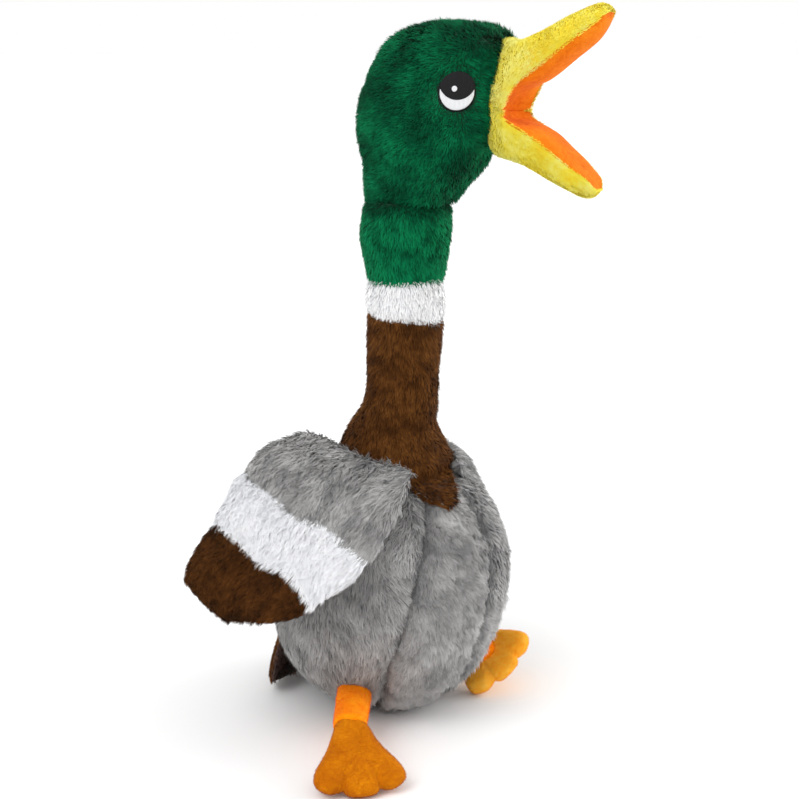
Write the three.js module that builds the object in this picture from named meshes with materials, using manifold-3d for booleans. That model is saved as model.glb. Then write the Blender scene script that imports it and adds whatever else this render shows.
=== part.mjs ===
// A stuffed plush duck for a dog to shake. It sits on its round bottom with its legs out in front,
// its long neck up and its bill wide open. Millimetres, +Z up; the duck faces -Y and its right side is -X.
import * as THREE from "three";
import { mergeVertices } from "three/addons/utils/BufferGeometryUtils.js";
import Module from "manifold-3d";

const wasm = await Module();
wasm.setup();

// Cloth, clearances and how finely the round forms are divided
const plush = 5;
const shortPlush = 2.6;
const seamGap = 0.3;
const facetSlack = 0.1;
const bendGap = 0.9;
const bodySides = 22;
const headSides = 16;
const neckSides = 14;
const limbSides = 10;
const knuckleSides = 18;

// Body: an egg on a flat seat
const bodyHeight = 172;
const bodyWidth = 156;
const bodyDepth = 160;
const bellyAngle = 17;
const bellyBack = 24;
const honkerRadius = 27;
const honkerHeight = 74;

// Neck: a tube set forward on the body, with a flared foot, a white collar and a green top
const neckForward = 15;
const neckRadius = 24;
const neckTopRadius = 28;
const neckFootRadius = 47;
const neckFootHeight = 158;
const neckFlareDrop = 16;
const neckBendHeight = 222;
const neckBrownLength = 40;
const collarLength = 27;
const neckGreenLength = 48;
const bendDepth = 10;
const shoulderRise = 4;

// Head: turned towards the duck's left
const headYaw = 24;
const headHeight = 114;
const headLength = 96;
const headWidth = 78;
const headForward = 20;
const headSquareness = 0.8;
const squeakerRadius = 13;
const squeakerRise = 47;

// Eyes, embroidered
const eyeRadius = 11.8;
const pupilRadius = 9.2;
const glintRadius = 2;
const eyeRise = 67;
const eyeForward = 37;
const eyeThread = 1;
const eyeTurn = 34;
const eyeTilt = 12;
const pupilRise = 2.4;

// Bill: two padded halves, each turning about the mouth's corner
const mouthForward = 66;
const mouthRise = 65;
const billWidth = 40;
const billRootHeight = 78;
const billRootDepth = 5;
const upperBillLength = 77;
const lowerBillLength = 74;
const upperBillAngle = 37.5;
const lowerBillAngle = 39.5;
const billKnuckle = 16;
const billRootDrop = 2;
const throatHeight = 12;
const throatWidth = 34;
const throatDepth = 14;

// Wings: limp flat pads sewn on at the shoulders, the right one spread and the left one hanging
const wingChord = 132;
const wingThickness = 13;
const wingLift = 60;
const wingPivotOut = 40;
const wingPivotHeight = 170;
const wingRest = 0.5;

// Tail: a limp fan under the back
const tailWidth = 118;
const tailThickness = 9;
const tailBow = 34;
const tailLift = 50;
const tailHeight = 50;
const seatGap = 0.4;

// Legs and feet
const legRadius = 11;
const hipRadius = 12;
const ankleRadius = 7.6;
const ankleHeight = 27;
const footLength = 50;
const footWidth = 58;
const footThickness = 14;
const footEdge = 5.5;
const heelGap = 3;

// Heights of the seams and of the face, each from the one below
const neckFlareHeight = neckBendHeight - neckFlareDrop;
const collarHeight = neckBendHeight + neckBrownLength;
const greenHeight = collarHeight + collarLength;
const headSeamHeight = greenHeight + neckGreenLength;
const squeakerHeight = headSeamHeight + squeakerRise;
const eyeHeight = headSeamHeight + eyeRise;
const mouthHeight = headSeamHeight + mouthRise;

const rad = THREE.MathUtils.degToRad;
const v3 = (x, y, z) => new THREE.Vector3(x, y, z);

// Solids

function solidOf(geometry) {
  const bare = geometry.clone();
  bare.deleteAttribute("normal");
  bare.deleteAttribute("uv");
  const merged = mergeVertices(bare, 1e-4);
  return new wasm.Manifold(
    new wasm.Mesh({
      numProp: 3,
      vertProperties: merged.attributes.position.array,
      triVerts: new Uint32Array(merged.index.array),
    }),
  );
}

function geometryOf(solid) {
  const mesh = solid.getMesh();
  const geometry = new THREE.BufferGeometry();
  geometry.setAttribute("position", new THREE.BufferAttribute(new Float32Array(mesh.vertProperties), 3));
  geometry.setIndex(new THREE.BufferAttribute(new Uint32Array(mesh.triVerts), 1));
  geometry.computeVertexNormals();
  return geometry;
}

// A closed solid through rings of equally many points, which may run round either way
function loft(rings) {
  const sides = rings[0].length;
  const points = rings.flat();
  const triangles = [];
  for (let r = 0; r + 1 < rings.length; r += 1) {
    for (let s = 0; s < sides; s += 1) {
      const a = r * sides + s;
      const b = r * sides + ((s + 1) % sides);
      triangles.push(a, b, b + sides, a, b + sides, a + sides);
    }
  }
  for (const [ring, turned] of [[0, true], [rings.length - 1, false]]) {
    const middle = new THREE.Vector3();
    rings[ring].forEach((p) => middle.addScaledVector(p, 1 / sides));
    points.push(middle);
    for (let s = 0; s < sides; s += 1) {
      const a = ring * sides + s;
      const b = ring * sides + ((s + 1) % sides);
      triangles.push(...(turned ? [b, a, points.length - 1] : [a, b, points.length - 1]));
    }
  }
  const geometry = new THREE.BufferGeometry().setFromPoints(points);
  geometry.setIndex(triangles);
  const solid = solidOf(geometry);
  if (solid.volume() > 0) return solid;
  geometry.setIndex(triangles.reverse());
  return solidOf(geometry);
}

// An upright round ring: centre, half width along X, half depth along Y
function levelRing(x, y, z, halfWidth, halfDepth, sides) {
  const ring = [];
  for (let s = 0; s < sides; s += 1) {
    const turn = (2 * Math.PI * (s + 0.5)) / sides;
    ring.push(v3(x + halfWidth * Math.cos(turn), y + halfDepth * Math.sin(turn), z));
  }
  return ring;
}

// A smooth row of values at equal steps through a few chosen ones
function smooth(rows, steps) {
  const curves = rows[0].map((_, i) => rows.map((row) => row[i]));
  const made = [];
  for (let k = 0; k <= steps; k += 1) {
    const t = (k / steps) * (rows.length - 1);
    const i = Math.min(Math.floor(t), rows.length - 2);
    made.push(
      curves.map((c) => {
        const [p0, p1, p2, p3] = [c[Math.max(i - 1, 0)], c[i], c[i + 1], c[Math.min(i + 2, c.length - 1)]];
        const f = t - i;
        return (
          0.5 * (2 * p1 + (p2 - p0) * f + (2 * p0 - 5 * p1 + 4 * p2 - p3) * f * f +
            (3 * p1 - p0 - 3 * p2 + p3) * f * f * f)
        );
      }),
    );
  }
  return made;
}

function joined(solids) {
  return solids.reduce((a, b) => a.add(b));
}

function ball(centre, radius, sides = knuckleSides) {
  const geometry = new THREE.SphereGeometry(radius, sides, sides / 2);
  return solidOf(geometry.translate(centre.x, centre.y, centre.z));
}

function block(x0, y0, z0, x1, y1, z1) {
  const geometry = new THREE.BoxGeometry(x1 - x0, y1 - y0, z1 - z0);
  return solidOf(geometry.translate((x0 + x1) / 2, (y0 + y1) / 2, (z0 + z1) / 2));
}

const far = 600;
const above = (z) => block(-far, -far, z, far, far, far);
const below = (z) => block(-far, -far, -far, far, far, z);

// The scene graph: one group for each moving body, its origin at its joint

function groupAt(parent, x, y, z, yaw = 0) {
  const group = new THREE.Group();
  const place = parent ? parent.worldToLocal(v3(x, y, z)) : v3(x, y, z);
  group.position.copy(place);
  group.rotation.z = yaw;
  if (parent) parent.add(group);
  group.updateMatrixWorld(true);
  return group;
}

// The largest body of a solid, without the slivers that a cut may leave
function whole(solid) {
  const bodies = solid.decompose();
  return bodies.reduce((a, b) => (b.volume() > a.volume() ? b : a));
}

function addPiece(group, name, cut, material) {
  const solid = whole(cut).simplify(facetSlack);
  const back = group.matrixWorld.clone().invert();
  const mesh = new THREE.Mesh(geometryOf(solid).applyMatrix4(back), material);
  mesh.name = name;
  group.add(mesh);
}

function cloth(colour, roughness = 0.95) {
  return new THREE.MeshStandardMaterial({ color: colour, roughness, metalness: 0 });
}

const green = cloth(0x0a5f37);
const yellow = cloth(0xecd94a);
const orange = cloth(0xe98a2b);
const footOrange = cloth(0xf79a1a);
const white = cloth(0xe2e2e4);
const brown = cloth(0x4e2d10);
const grey = cloth(0x97979a);
const darkBrown = cloth(0x2c1d13);
const filling = cloth(0xf4f2ec);
const threadBlack = cloth(0x0c0c0e, 0.6);
const threadWhite = cloth(0xf2f2f2, 0.6);
const squeakerPlastic = new THREE.MeshStandardMaterial({ color: 0xf3efe4, roughness: 0.45, metalness: 0 });
const reedPlastic = new THREE.MeshStandardMaterial({ color: 0xd8403a, roughness: 0.4, metalness: 0 });

const pivotNeckBend = v3(0, -neckForward, neckBendHeight + bendDepth);
const pivotNeckLean = v3(0, -neckForward, collarHeight + bendDepth);
const pivotHead = v3(0, -neckForward, headSeamHeight + bendDepth);
const yaw = rad(headYaw);
const faceWay = v3(Math.sin(yaw), -Math.cos(yaw), 0);
const faceSide = v3(Math.cos(yaw), Math.sin(yaw), 0);

// A point given by how far it lies before the neck's axis, towards the duck's left, and its height
function headPoint(forward, side, height) {
  return v3(0, -neckForward, height).addScaledVector(faceWay, forward).addScaledVector(faceSide, side);
}

const duck = new THREE.Group();
const body = groupAt(duck, 0, 0, 0);
const neckLower = groupAt(body, ...pivotNeckBend);
const neckUpper = groupAt(neckLower, ...pivotNeckLean);
const head = groupAt(neckUpper, ...pivotHead, yaw);

// Forms, each a closed solid that can be grown or shrunk by a wall's thickness

const bodyShape = [
  // share of the height, share of the half width, shift back as a share of the depth
  [0, 0.34, 0],
  [0.06, 0.58, 0],
  [0.19, 0.83, 0],
  [0.36, 0.97, 0],
  [0.54, 1, 0],
  [0.72, 0.93, 0],
  [0.87, 0.76, 0.01],
  [0.96, 0.52, 0.02],
  [1, 0.24, 0.03],
];

function bodyForm(grow) {
  const rings = smooth(bodyShape, 10).map(([h, r, back]) => {
    const z = bodyHeight * h + grow * (2 * h - 1);
    const lift = grow * Math.min(1, r + 0.25);
    return levelRing(
      0, back * bodyDepth, z,
      Math.max((bodyWidth / 2) * r + lift, 2), Math.max((bodyDepth / 2) * r + lift, 2), bodySides,
    );
  });
  return loft(rings);
}

// The neck from its flared foot on the body up to the crease under the head
const neckShape = [
  [neckFootHeight, neckFootRadius, 0.25],
  [neckFlareHeight - 16, neckRadius + 13, 0.35],
  [neckFlareHeight, neckRadius + 4, 0.7],
  [neckBendHeight, neckRadius, 0.95],
  [collarHeight, neckRadius, 1],
  [greenHeight, neckRadius + 0.6, 1],
  [headSeamHeight - 22, neckTopRadius - 0.5, 1],
  [headSeamHeight + 14, neckTopRadius - 0.5, 1],
];

function neckForm(grow) {
  const rings = smooth(neckShape, 10).map(([z, r, forward]) =>
    levelRing(0, -neckForward * forward, z, r + grow, r + grow, neckSides),
  );
  return loft(rings);
}

const headShape = [
  // share of the height, share of the half length, how far forward
  [0, 0.57, 0.1],
  [0.08, 0.7, 0.45],
  [0.22, 0.92, 0.97],
  [0.4, 1, 1],
  [0.58, 1, 1.1],
  [0.74, 0.96, 1.35],
  [0.88, 0.82, 1.55],
  [0.96, 0.58, 1.65],
  [1, 0.24, 1.65],
];

function headForm(grow) {
  const rings = smooth(headShape, 10).map(([h, r, forward]) => {
    const middle = headPoint(headForward * forward, 0, headSeamHeight + headHeight * h + grow * (2 * h - 1));
    const lift = grow * Math.min(1, r + 0.25);
    const halfWidth = Math.max((headWidth / 2) * r + lift, 2);
    const halfLength = Math.max((headLength / 2) * r + lift, 2);
    const blunt = (x) => Math.sign(x) * Math.abs(x) ** headSquareness;
    const ring = levelRing(0, 0, 0, 1, 1, headSides);
    return ring.map(({ x, y }) =>
      v3(halfWidth * blunt(x), halfLength * blunt(y), 0).applyAxisAngle(v3(0, 0, 1), yaw).add(middle),
    );
  });
  return loft(rings);
}

// A soft joint: the upper piece ends in a ball, the lower one in a cup round it
function bendRadius(radius) {
  return Math.hypot(radius, bendDepth);
}
const upperEnd = (pivot, radius) => above(pivot.z + shoulderRise).add(ball(pivot, bendRadius(radius)));
const lowerEnd = (pivot, radius) => below(pivot.z).subtract(ball(pivot, bendRadius(radius) + bendGap));
const neckBendRadius = neckRadius + 1;
const neckLeanRadius = neckRadius;
const headBendRadius = neckTopRadius - 1;

// Shaped tools for cutting

function rod(from, to, radius, sides = 20) {
  const geometry = new THREE.CylinderGeometry(radius, radius, from.distanceTo(to), sides);
  geometry.applyQuaternion(
    new THREE.Quaternion().setFromUnitVectors(v3(0, 1, 0), to.clone().sub(from).normalize()),
  );
  const middle = from.clone().add(to).multiplyScalar(0.5);
  return solidOf(geometry.translate(middle.x, middle.y, middle.z));
}

function spun(profile, sides, place) {
  const points = profile.map(([r, z]) => new THREE.Vector2(r, z));
  const geometry = new THREE.LatheGeometry(points, sides).rotateX(Math.PI / 2);
  return solidOf(geometry.translate(place.x, place.y, place.z));
}

// The front wedge of the body between the two belly seams, a clearance wider or narrower on each side
function bellyWedge(wider) {
  const open = rad(bellyAngle);
  const shape = new THREE.Shape([
    new THREE.Vector2(0, wider / Math.sin(open)),
    new THREE.Vector2(-far * Math.sin(open), -far * Math.cos(open) + wider / Math.sin(open)),
    new THREE.Vector2(far * Math.sin(open), -far * Math.cos(open) + wider / Math.sin(open)),
  ]);
  const geometry = new THREE.ExtrudeGeometry(shape, { depth: 2 * far, bevelEnabled: false });
  return solidOf(geometry.translate(0, bellyBack, -far));
}

const rightOf = (x) => block(-far, -far, -far, x, far, far);
const leftOf = (x) => block(x, -far, -far, far, far, far);

// A squeaker: a thin round bulb with its mouth up, and a flanged reed cup pressed into the mouth
function squeaker(group, name, place, radius, wall, mouth) {
  const steps = 6;
  const open = Math.asin(mouth / radius);
  const outer = [];
  const inner = [];
  for (let i = 0; i <= steps; i += 1) {
    const turn = -Math.PI / 2 + ((Math.PI - open) * i) / steps;
    outer.push([radius * Math.cos(turn), radius * Math.sin(turn)]);
    inner.push([(radius - wall) * Math.cos(turn), (radius - wall) * Math.sin(turn)]);
  }
  outer[0][0] = 0;
  inner[0][0] = 0;
  addPiece(group, name + "_bulb", spun([...outer, ...inner.reverse()], 14, place), squeakerPlastic);
  const lip = radius * Math.cos(open) + seamGap;
  const plug = mouth - wall - seamGap;
  const bore = plug * 0.4;
  const flange = mouth + wall;
  const cup = [
    [bore, lip - 3 * wall], [plug, lip - 3 * wall], [plug, lip], [flange, lip], [flange, lip + wall],
    [bore, lip + wall], [bore, lip - 3 * wall],
  ];
  addPiece(group, name + "_reed_cup", spun(cup, 12, place), reedPlastic);
  return lip + wall;
}

// Legs: where each leaves the body, where its ankle lies, the way its foot points and how it is rolled
const legs = [
  { label: "right", hip: v3(-50, -37, 27), ankle: v3(-81, -74, ankleHeight), turn: -25, roll: 0 },
  { label: "left", hip: v3(57, -32, 27), ankle: v3(71, 12, ankleHeight + 2), turn: 2, roll: -38 },
];
const hipRoom = joined(legs.map(({ hip }) => ball(hip, hipRadius + bendGap, 14)));

// Body: three sewn panels of grey plush over two halves of filling, with the honker in a pocket between

const bodyOuter = bodyForm(0);
const bodyInner = bodyForm(-plush);
const neckHole = neckForm(-plush);
const bodyCloth = bodyOuter.subtract(bodyInner).subtract(neckHole).subtract(hipRoom);
const honkerPlace = v3(0, 0, honkerHeight);
const wedge = bellyWedge(0);
const besideWedge = bellyWedge(seamGap);
addPiece(body, "belly_panel", bodyCloth.intersect(wedge), grey);
addPiece(body, "body_side_right", bodyCloth.subtract(besideWedge).intersect(rightOf(-seamGap / 2)), grey);
addPiece(body, "body_side_left", bodyCloth.subtract(besideWedge).intersect(leftOf(seamGap / 2)), grey);
const honkerTop = squeaker(body, "honker", honkerPlace, honkerRadius, 1.6, 9);
const honkerPocket = ball(honkerPlace, honkerRadius + 3 * seamGap, 20).add(
  rod(honkerPlace, v3(0, 0, honkerHeight + honkerTop + seamGap), 11, 16),
);
const bodyFilling = bodyForm(-plush - seamGap).subtract(honkerPocket).subtract(hipRoom);
addPiece(body, "body_stuffing_right", bodyFilling.intersect(rightOf(-seamGap / 2)), filling);
addPiece(body, "body_stuffing_left", bodyFilling.intersect(leftOf(seamGap / 2)), filling);

// Neck, in three lengths that bend on each other

const neckCloth = neckForm(0).subtract(neckForm(-plush));
const neckFilling = neckForm(-plush - seamGap);
const baseEnd = lowerEnd(pivotNeckBend, neckBendRadius);
addPiece(body, "neck_base", neckCloth.intersect(baseEnd).subtract(bodyForm(seamGap)), brown);
addPiece(body, "neck_base_stuffing", neckFilling.intersect(baseEnd).subtract(bodyInner), filling);

const lowerLength = upperEnd(pivotNeckBend, neckBendRadius).intersect(lowerEnd(pivotNeckLean, neckLeanRadius));
addPiece(neckLower, "neck_brown", neckCloth.intersect(lowerLength), brown);
addPiece(neckLower, "neck_lower_stuffing", neckFilling.intersect(lowerLength), filling);

const upperLength = upperEnd(pivotNeckLean, neckLeanRadius).intersect(lowerEnd(pivotHead, headBendRadius));
addPiece(neckUpper, "collar_white", neckCloth.intersect(upperLength).intersect(below(greenHeight)), white);
addPiece(neckUpper, "neck_green", neckCloth.intersect(upperLength).intersect(above(greenHeight + seamGap)), green);
addPiece(neckUpper, "neck_upper_stuffing", neckFilling.intersect(upperLength), filling);

// Head: two cheeks of green plush over two halves of filling with a squeaker between

function turned(solid, pivot, axis, angle) {
  const move = new THREE.Matrix4().makeTranslation(pivot.x, pivot.y, pivot.z);
  move.multiply(new THREE.Matrix4().makeRotationAxis(axis, rad(angle)));
  move.multiply(new THREE.Matrix4().makeTranslation(-pivot.x, -pivot.y, -pivot.z));
  return solid.transform(move.elements);
}

// The half of space on one side of the head's middle: -1 its right side, 1 its left side
function cheekSide(side) {
  const half = side < 0 ? rightOf(-seamGap / 2) : leftOf(seamGap / 2);
  return turned(half, v3(0, 0, 0), v3(0, 0, 1), headYaw).translate([0, -neckForward, 0]);
}

const headEnd = upperEnd(pivotHead, headBendRadius);
const headOuter = headForm(0);
const headInner = headForm(-plush);

function eyeAxis(side) {
  const out = faceSide.clone().multiplyScalar(side * Math.cos(rad(eyeTurn)));
  out.addScaledVector(faceWay, Math.sin(rad(eyeTurn)));
  out.z = Math.sin(rad(eyeTilt));
  return out.normalize();
}

const eyeCloth = headForm(eyeThread).subtract(headForm(-plush / 2));
const sides = [["right", -1], ["left", 1]];
const eyeRooms = [];
for (const [label, side] of sides) {
  const out = eyeAxis(side);
  const up = v3(0, 0, 1).addScaledVector(out, -out.z).normalize();
  const along = up.clone().cross(out).multiplyScalar(side);
  const middle = headPoint(eyeForward, side * 10, eyeHeight);
  const patch = (centre, radius, around) =>
    rod(centre, centre.clone().addScaledVector(out, headWidth), radius, around);
  const pupilAt = middle.clone().addScaledVector(up, pupilRise).addScaledVector(along, pupilRise * 0.2);
  const glintAt = pupilAt.clone().addScaledVector(up, pupilRadius * 0.35).addScaledVector(along, 1.5);
  const pupil = patch(pupilAt, pupilRadius, 16);
  const glint = patch(glintAt, glintRadius, 8);
  const disc = patch(middle, eyeRadius, 18);
  const loose = (centre, radius, around) => patch(centre, radius + seamGap, around);
  addPiece(
    head, "eye_white_" + label,
    eyeCloth.intersect(disc).subtract(loose(pupilAt, pupilRadius, 16)), threadWhite,
  );
  addPiece(
    head, "eye_pupil_" + label,
    eyeCloth.intersect(pupil).intersect(disc).subtract(loose(glintAt, glintRadius, 8)), threadBlack,
  );
  addPiece(head, "eye_glint_" + label, eyeCloth.intersect(glint), threadWhite);
  eyeRooms.push(loose(middle, eyeRadius, 18).subtract(headForm(-plush / 2 - seamGap)));
}

// The bill's halves turn about two lines across the face, one above and one below the mouth's middle
const knuckleRise = billKnuckle + seamGap;
const upperKnuckle = headPoint(mouthForward, 0, mouthHeight + knuckleRise);
const lowerKnuckle = headPoint(mouthForward, 0, mouthHeight - knuckleRise);

function knuckle(at, grow) {
  const reach = faceSide.clone().multiplyScalar(billWidth / 2 + grow);
  return rod(at.clone().sub(reach), at.clone().add(reach), billKnuckle + grow, knuckleSides);
}

const knuckleRoom = knuckle(upperKnuckle, bendGap).add(knuckle(lowerKnuckle, bendGap));
const billShape = [
  // share of the length, share of the half width, share of the root's thickness
  [0, 0.98, 1],
  [0.25, 1, 0.72],
  [0.5, 0.88, 0.55],
  [0.75, 0.72, 0.42],
  [0.93, 0.52, 0.31],
  [1, 0.26, 0.18],
];

// One half of the bill, raised (1) or lowered (-1): flat on the mouth's side and domed outside
function billForm(at, side, length, angle, grow) {
  const way = faceWay.clone().multiplyScalar(Math.cos(rad(angle)));
  way.z = side * Math.sin(rad(angle));
  const out = v3(0, 0, side).addScaledVector(way, -side * way.z).normalize();
  const thick = billKnuckle + grow;
  const root = [75, 45, 18].map((turn) => [
    -thick * Math.sin(rad(turn)), (billWidth / 2) * billShape[0][1], thick * Math.cos(rad(turn)),
  ]);
  const blade = smooth(billShape, 7).map(([t, w, h]) => [
    t * (length + grow), (billWidth / 2) * w, billKnuckle * h + grow,
  ]);
  const rings = [...root, ...blade].map(([run, halfWidth, halfHigh], i) => {
    const flat = i < root.length ? halfHigh : thick;
    const middle = at.clone().addScaledVector(way, run).addScaledVector(out, -flat);
    const ring = [];
    for (let s = 0; s <= 10; s += 1) {
      const turn = (Math.PI * s) / 10;
      const across = Math.cos(turn) * (halfWidth + grow) * side;
      ring.push(middle.clone().addScaledVector(faceSide, across)
        .addScaledVector(out, 2 * halfHigh * Math.sin(turn) ** 0.75));
    }
    return ring;
  });
  return loft(rings);
}

// The mouth's side of one half: all that lies within a depth of its flat
function liningSide(at, side, angle, depth) {
  const slab = block(-far, -far, -far, far, far, depth - billKnuckle);
  const tilted = turned(slab, v3(0, 0, 0), v3(1, 0, 0), -angle);
  const flipped = side > 0 ? tilted : tilted.mirror([0, 0, 1]);
  return turned(flipped, v3(0, 0, 0), v3(0, 0, 1), headYaw).translate([at.x, at.y, at.z]);
}

const halves = [
  ["upper_bill", 1, upperKnuckle, upperBillLength, upperBillAngle],
  ["lower_bill", -1, lowerKnuckle, lowerBillLength, lowerBillAngle],
];
for (const [name, side, at, length, angle] of halves) {
  const group = groupAt(head, ...at);
  const form = (grow) => billForm(at, side, length, angle, grow);
  const shell = form(0).subtract(form(-shortPlush));
  const lining = liningSide(at, side, angle, shortPlush);
  const cover = shell.subtract(liningSide(at, side, angle, shortPlush + seamGap));
  addPiece(group, name + "_cover", cover, yellow);
  addPiece(group, name + "_lining", shell.intersect(lining), orange);
  addPiece(group, name + "_stuffing", form(-shortPlush - seamGap), filling);
}

// The yellow band that carries both halves, above and below the mouth, and the orange throat between
const bandGeometry = new THREE.CylinderGeometry(1, 1, 4 * billWidth, 20).scale(
  billWidth / 2 + 2, 1, billRootHeight / 2,
);
const mouthAt = headPoint(mouthForward, 0, mouthHeight);
const band = solidOf(bandGeometry.rotateZ(yaw).translate(mouthAt.x, mouthAt.y, mouthHeight - billRootDrop));
const billRoom = halves.reduce(
  (room, [, side, at, length, angle]) => room.add(billForm(at, side, length, angle, bendGap)), knuckleRoom,
);
const bandCloth = headForm(billRootDepth).subtract(headForm(seamGap)).intersect(band)
  .intersect(turned(block(-far, -far, -far, far, 0, far), v3(0, 0, 0), v3(0, 0, 1), headYaw)
    .translate([0, -neckForward, 0])).subtract(billRoom);
const throatForm = (grow) => solidOf(
  new THREE.BoxGeometry(throatWidth + 2 * grow, throatDepth + 2 * grow, throatHeight + 2 * grow)
    .translate(0, throatDepth / 2 + bendGap, 0).rotateZ(yaw).translate(mouthAt.x, mouthAt.y, mouthAt.z),
);
addPiece(head, "bill_root_upper", bandCloth.intersect(above(mouthHeight + knuckleRise)), yellow);
addPiece(head, "bill_root_lower", bandCloth.intersect(below(mouthHeight - knuckleRise)), yellow);
addPiece(head, "mouth_throat", throatForm(0).subtract(billRoom), orange);

const headCloth = headOuter.subtract(headInner).intersect(headEnd).subtract(joined(eyeRooms))
  .subtract(billRoom).subtract(throatForm(seamGap));
addPiece(head, "head_cheek_right", headCloth.intersect(cheekSide(-1)), green);
addPiece(head, "head_cheek_left", headCloth.intersect(cheekSide(1)), green);
const squeakerPlace = headPoint(headForward, 0, squeakerHeight);
const squeakerTop = squeaker(head, "squeaker", squeakerPlace, squeakerRadius, 1.2, 5);
const squeakerPocket = ball(squeakerPlace, squeakerRadius + 2 * seamGap, 16).add(
  rod(squeakerPlace, squeakerPlace.clone().setZ(squeakerHeight + squeakerTop + seamGap), 7, 12),
);
const headFilling = headForm(-plush - seamGap).intersect(headEnd).subtract(squeakerPocket)
  .subtract(billRoom).subtract(throatForm(seamGap));
addPiece(head, "head_stuffing_right", headFilling.intersect(cheekSide(-1)), filling);
addPiece(head, "head_stuffing_left", headFilling.intersect(cheekSide(1)), filling);

// Wings and tail: layered pads through sections across a spine

// One layer of a pad: each section has its middle, its direction across, half width and half thickness.
// The upper layer (1) lies above the middle sheet and the lining (-1) below it; both stop at the seam.
function layer(sections, side, bow = 0) {
  const rings = sections.map(({ at, across, half, thick }, i) => {
    const next = sections[Math.min(i + 1, sections.length - 1)].at;
    const last = sections[Math.max(i - 1, 0)].at;
    const along = next.clone().sub(last).normalize();
    const normal = across.clone().cross(along).normalize().multiplyScalar(side);
    const ring = [];
    for (let s = 0; s <= limbSides; s += 1) {
      const turn = (Math.PI * s) / limbSides;
      const reach = Math.cos(turn) * half * side;
      const high = seamGap / 2 + (thick - seamGap / 2) * Math.sin(turn);
      ring.push(at.clone().addScaledVector(across, reach).addScaledVector(normal, high));
    }
    for (let s = 1; bow && s < limbSides; s += 1) {
      const reach = -Math.cos((Math.PI * s) / limbSides) * half * side;
      ring.push(at.clone().addScaledVector(across, reach).addScaledVector(normal, seamGap / 2));
    }
    ring.forEach((point) => {
      point.y -= bow * (point.x / (tailWidth / 2)) ** 2;
    });
    return ring;
  });
  return loft(rings);
}

// Sections through a few chosen ones: spine point, direction across, share of the chord and thickness
function sectionsOf(rows, chord, thickness, steps) {
  return smooth(rows, steps).map(([x, y, z, ax, ay, az, wide, thick]) => ({
    at: v3(x, y, z),
    across: v3(ax, ay, az).normalize(),
    half: (chord / 2) * wide,
    thick: (thickness / 2) * thick,
  }));
}

const wings = [
  ["right", -1, [
    [-26, -2, 178, -0.1, 1, 0.06, 0.8, 0.6],
    [-50, -6, 167, -0.12, 1, 0.14, 0.95, 1],
    [-73, -8, 143, -0.13, 1, 0.26, 1, 1.05],
    [-99, -6, 117, -0.12, 1, 0.36, 0.84, 1],
    [-121, 2, 103, -0.12, 1, 0.4, 0.64, 0.9],
    [-137, 8, 96, -0.12, 1, 0.42, 0.34, 0.5],
  ]],
  ["left", 1, [
    [24, 8, 178, 0.1, 1, 0.06, 0.8, 0.6],
    [46, 22, 168, 0, 1, 0.1, 0.95, 1],
    [64, 40, 146, -0.1, 1, 0.1, 1, 1.05],
    [79, 54, 110, -0.2, 1, 0.12, 0.84, 1],
    [83, 62, 84, -0.24, 1, 0.14, 0.64, 0.9],
    [82, 66, 68, -0.24, 1, 0.14, 0.34, 0.5],
  ]],
];

// A solid with the room cut out that an obstacle takes, seen from a piece that turns about a pivot
function clearOf(solid, obstacle, pivot, axis, angles) {
  return angles.reduce((left, angle) => left.subtract(turned(obstacle, pivot, axis, -angle)), solid);
}

const torsoRoom = bodyForm(wingRest).add(neckForm(wingRest)).intersect(below(pivotNeckBend.z));
for (const [label, side, rows] of wings) {
  const pivot = v3(side * wingPivotOut, 0, wingPivotHeight);
  const axis = v3(0, -side, 0);
  const group = groupAt(body, ...pivot);
  const sections = sectionsOf(rows, wingChord, wingThickness, 10);
  const room = (solid) => clearOf(solid, torsoRoom, pivot, axis, [0, wingLift / 4, wingLift / 2, wingLift]);
  const upper = room(layer(sections, -side));
  const lining = room(layer(sections, side));
  // The seams across the wing, at the second and third chosen sections
  const beyond = (index, shift) => {
    const along = v3(rows[index + 1][0] - rows[index - 1][0], 0, rows[index + 1][2] - rows[index - 1][2]);
    const at = v3(rows[index][0], rows[index][1], rows[index][2]);
    const half = new THREE.BoxGeometry(2 * far, 2 * far, 2 * far).translate(0, 0, far + shift);
    half.applyQuaternion(new THREE.Quaternion().setFromUnitVectors(v3(0, 0, 1), along.normalize()));
    return solidOf(half.translate(at.x, at.y, at.z));
  };
  addPiece(group, `wing_${label}_covert`, upper.subtract(beyond(2, 0)), grey);
  addPiece(group, `wing_${label}_bar`, upper.intersect(beyond(2, seamGap)).subtract(beyond(3, 0)), white);
  addPiece(group, `wing_${label}_tip`, upper.intersect(beyond(3, seamGap)), brown);
  addPiece(group, `wing_${label}_lining`, lining, grey);
}

// The tail hangs from the back seam and bows round the body
const tailPivot = v3(0, bodyDepth / 2 - 2, tailHeight);
const tailGroup = groupAt(body, ...tailPivot);
const tailRows = [
  [0, tailPivot.y + 1, tailHeight, 1, 0, 0, 0.5, 0.7],
  [0, tailPivot.y + 10, tailHeight * 0.68, 1, 0, 0, 0.82, 1],
  [0, tailPivot.y + 16, tailHeight * 0.34, 1, 0, 0, 1, 1],
  [0, tailPivot.y + 18, tailThickness * 0.62, 1, 0, 0, 0.94, 0.6],
];
const tailSections = sectionsOf(tailRows, tailWidth, tailThickness, 6);
const tailRoom = bodyForm(wingRest);
const tailClear = (solid) => clearOf(solid, tailRoom, tailPivot, v3(1, 0, 0), [0, tailLift / 2, tailLift]);
addPiece(tailGroup, "tail_cover", tailClear(layer(tailSections, -1, tailBow)).intersect(above(seatGap)), brown);
addPiece(tailGroup, "tail_lining", tailClear(layer(tailSections, 1, tailBow)).intersect(above(seatGap)), darkBrown);

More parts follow.
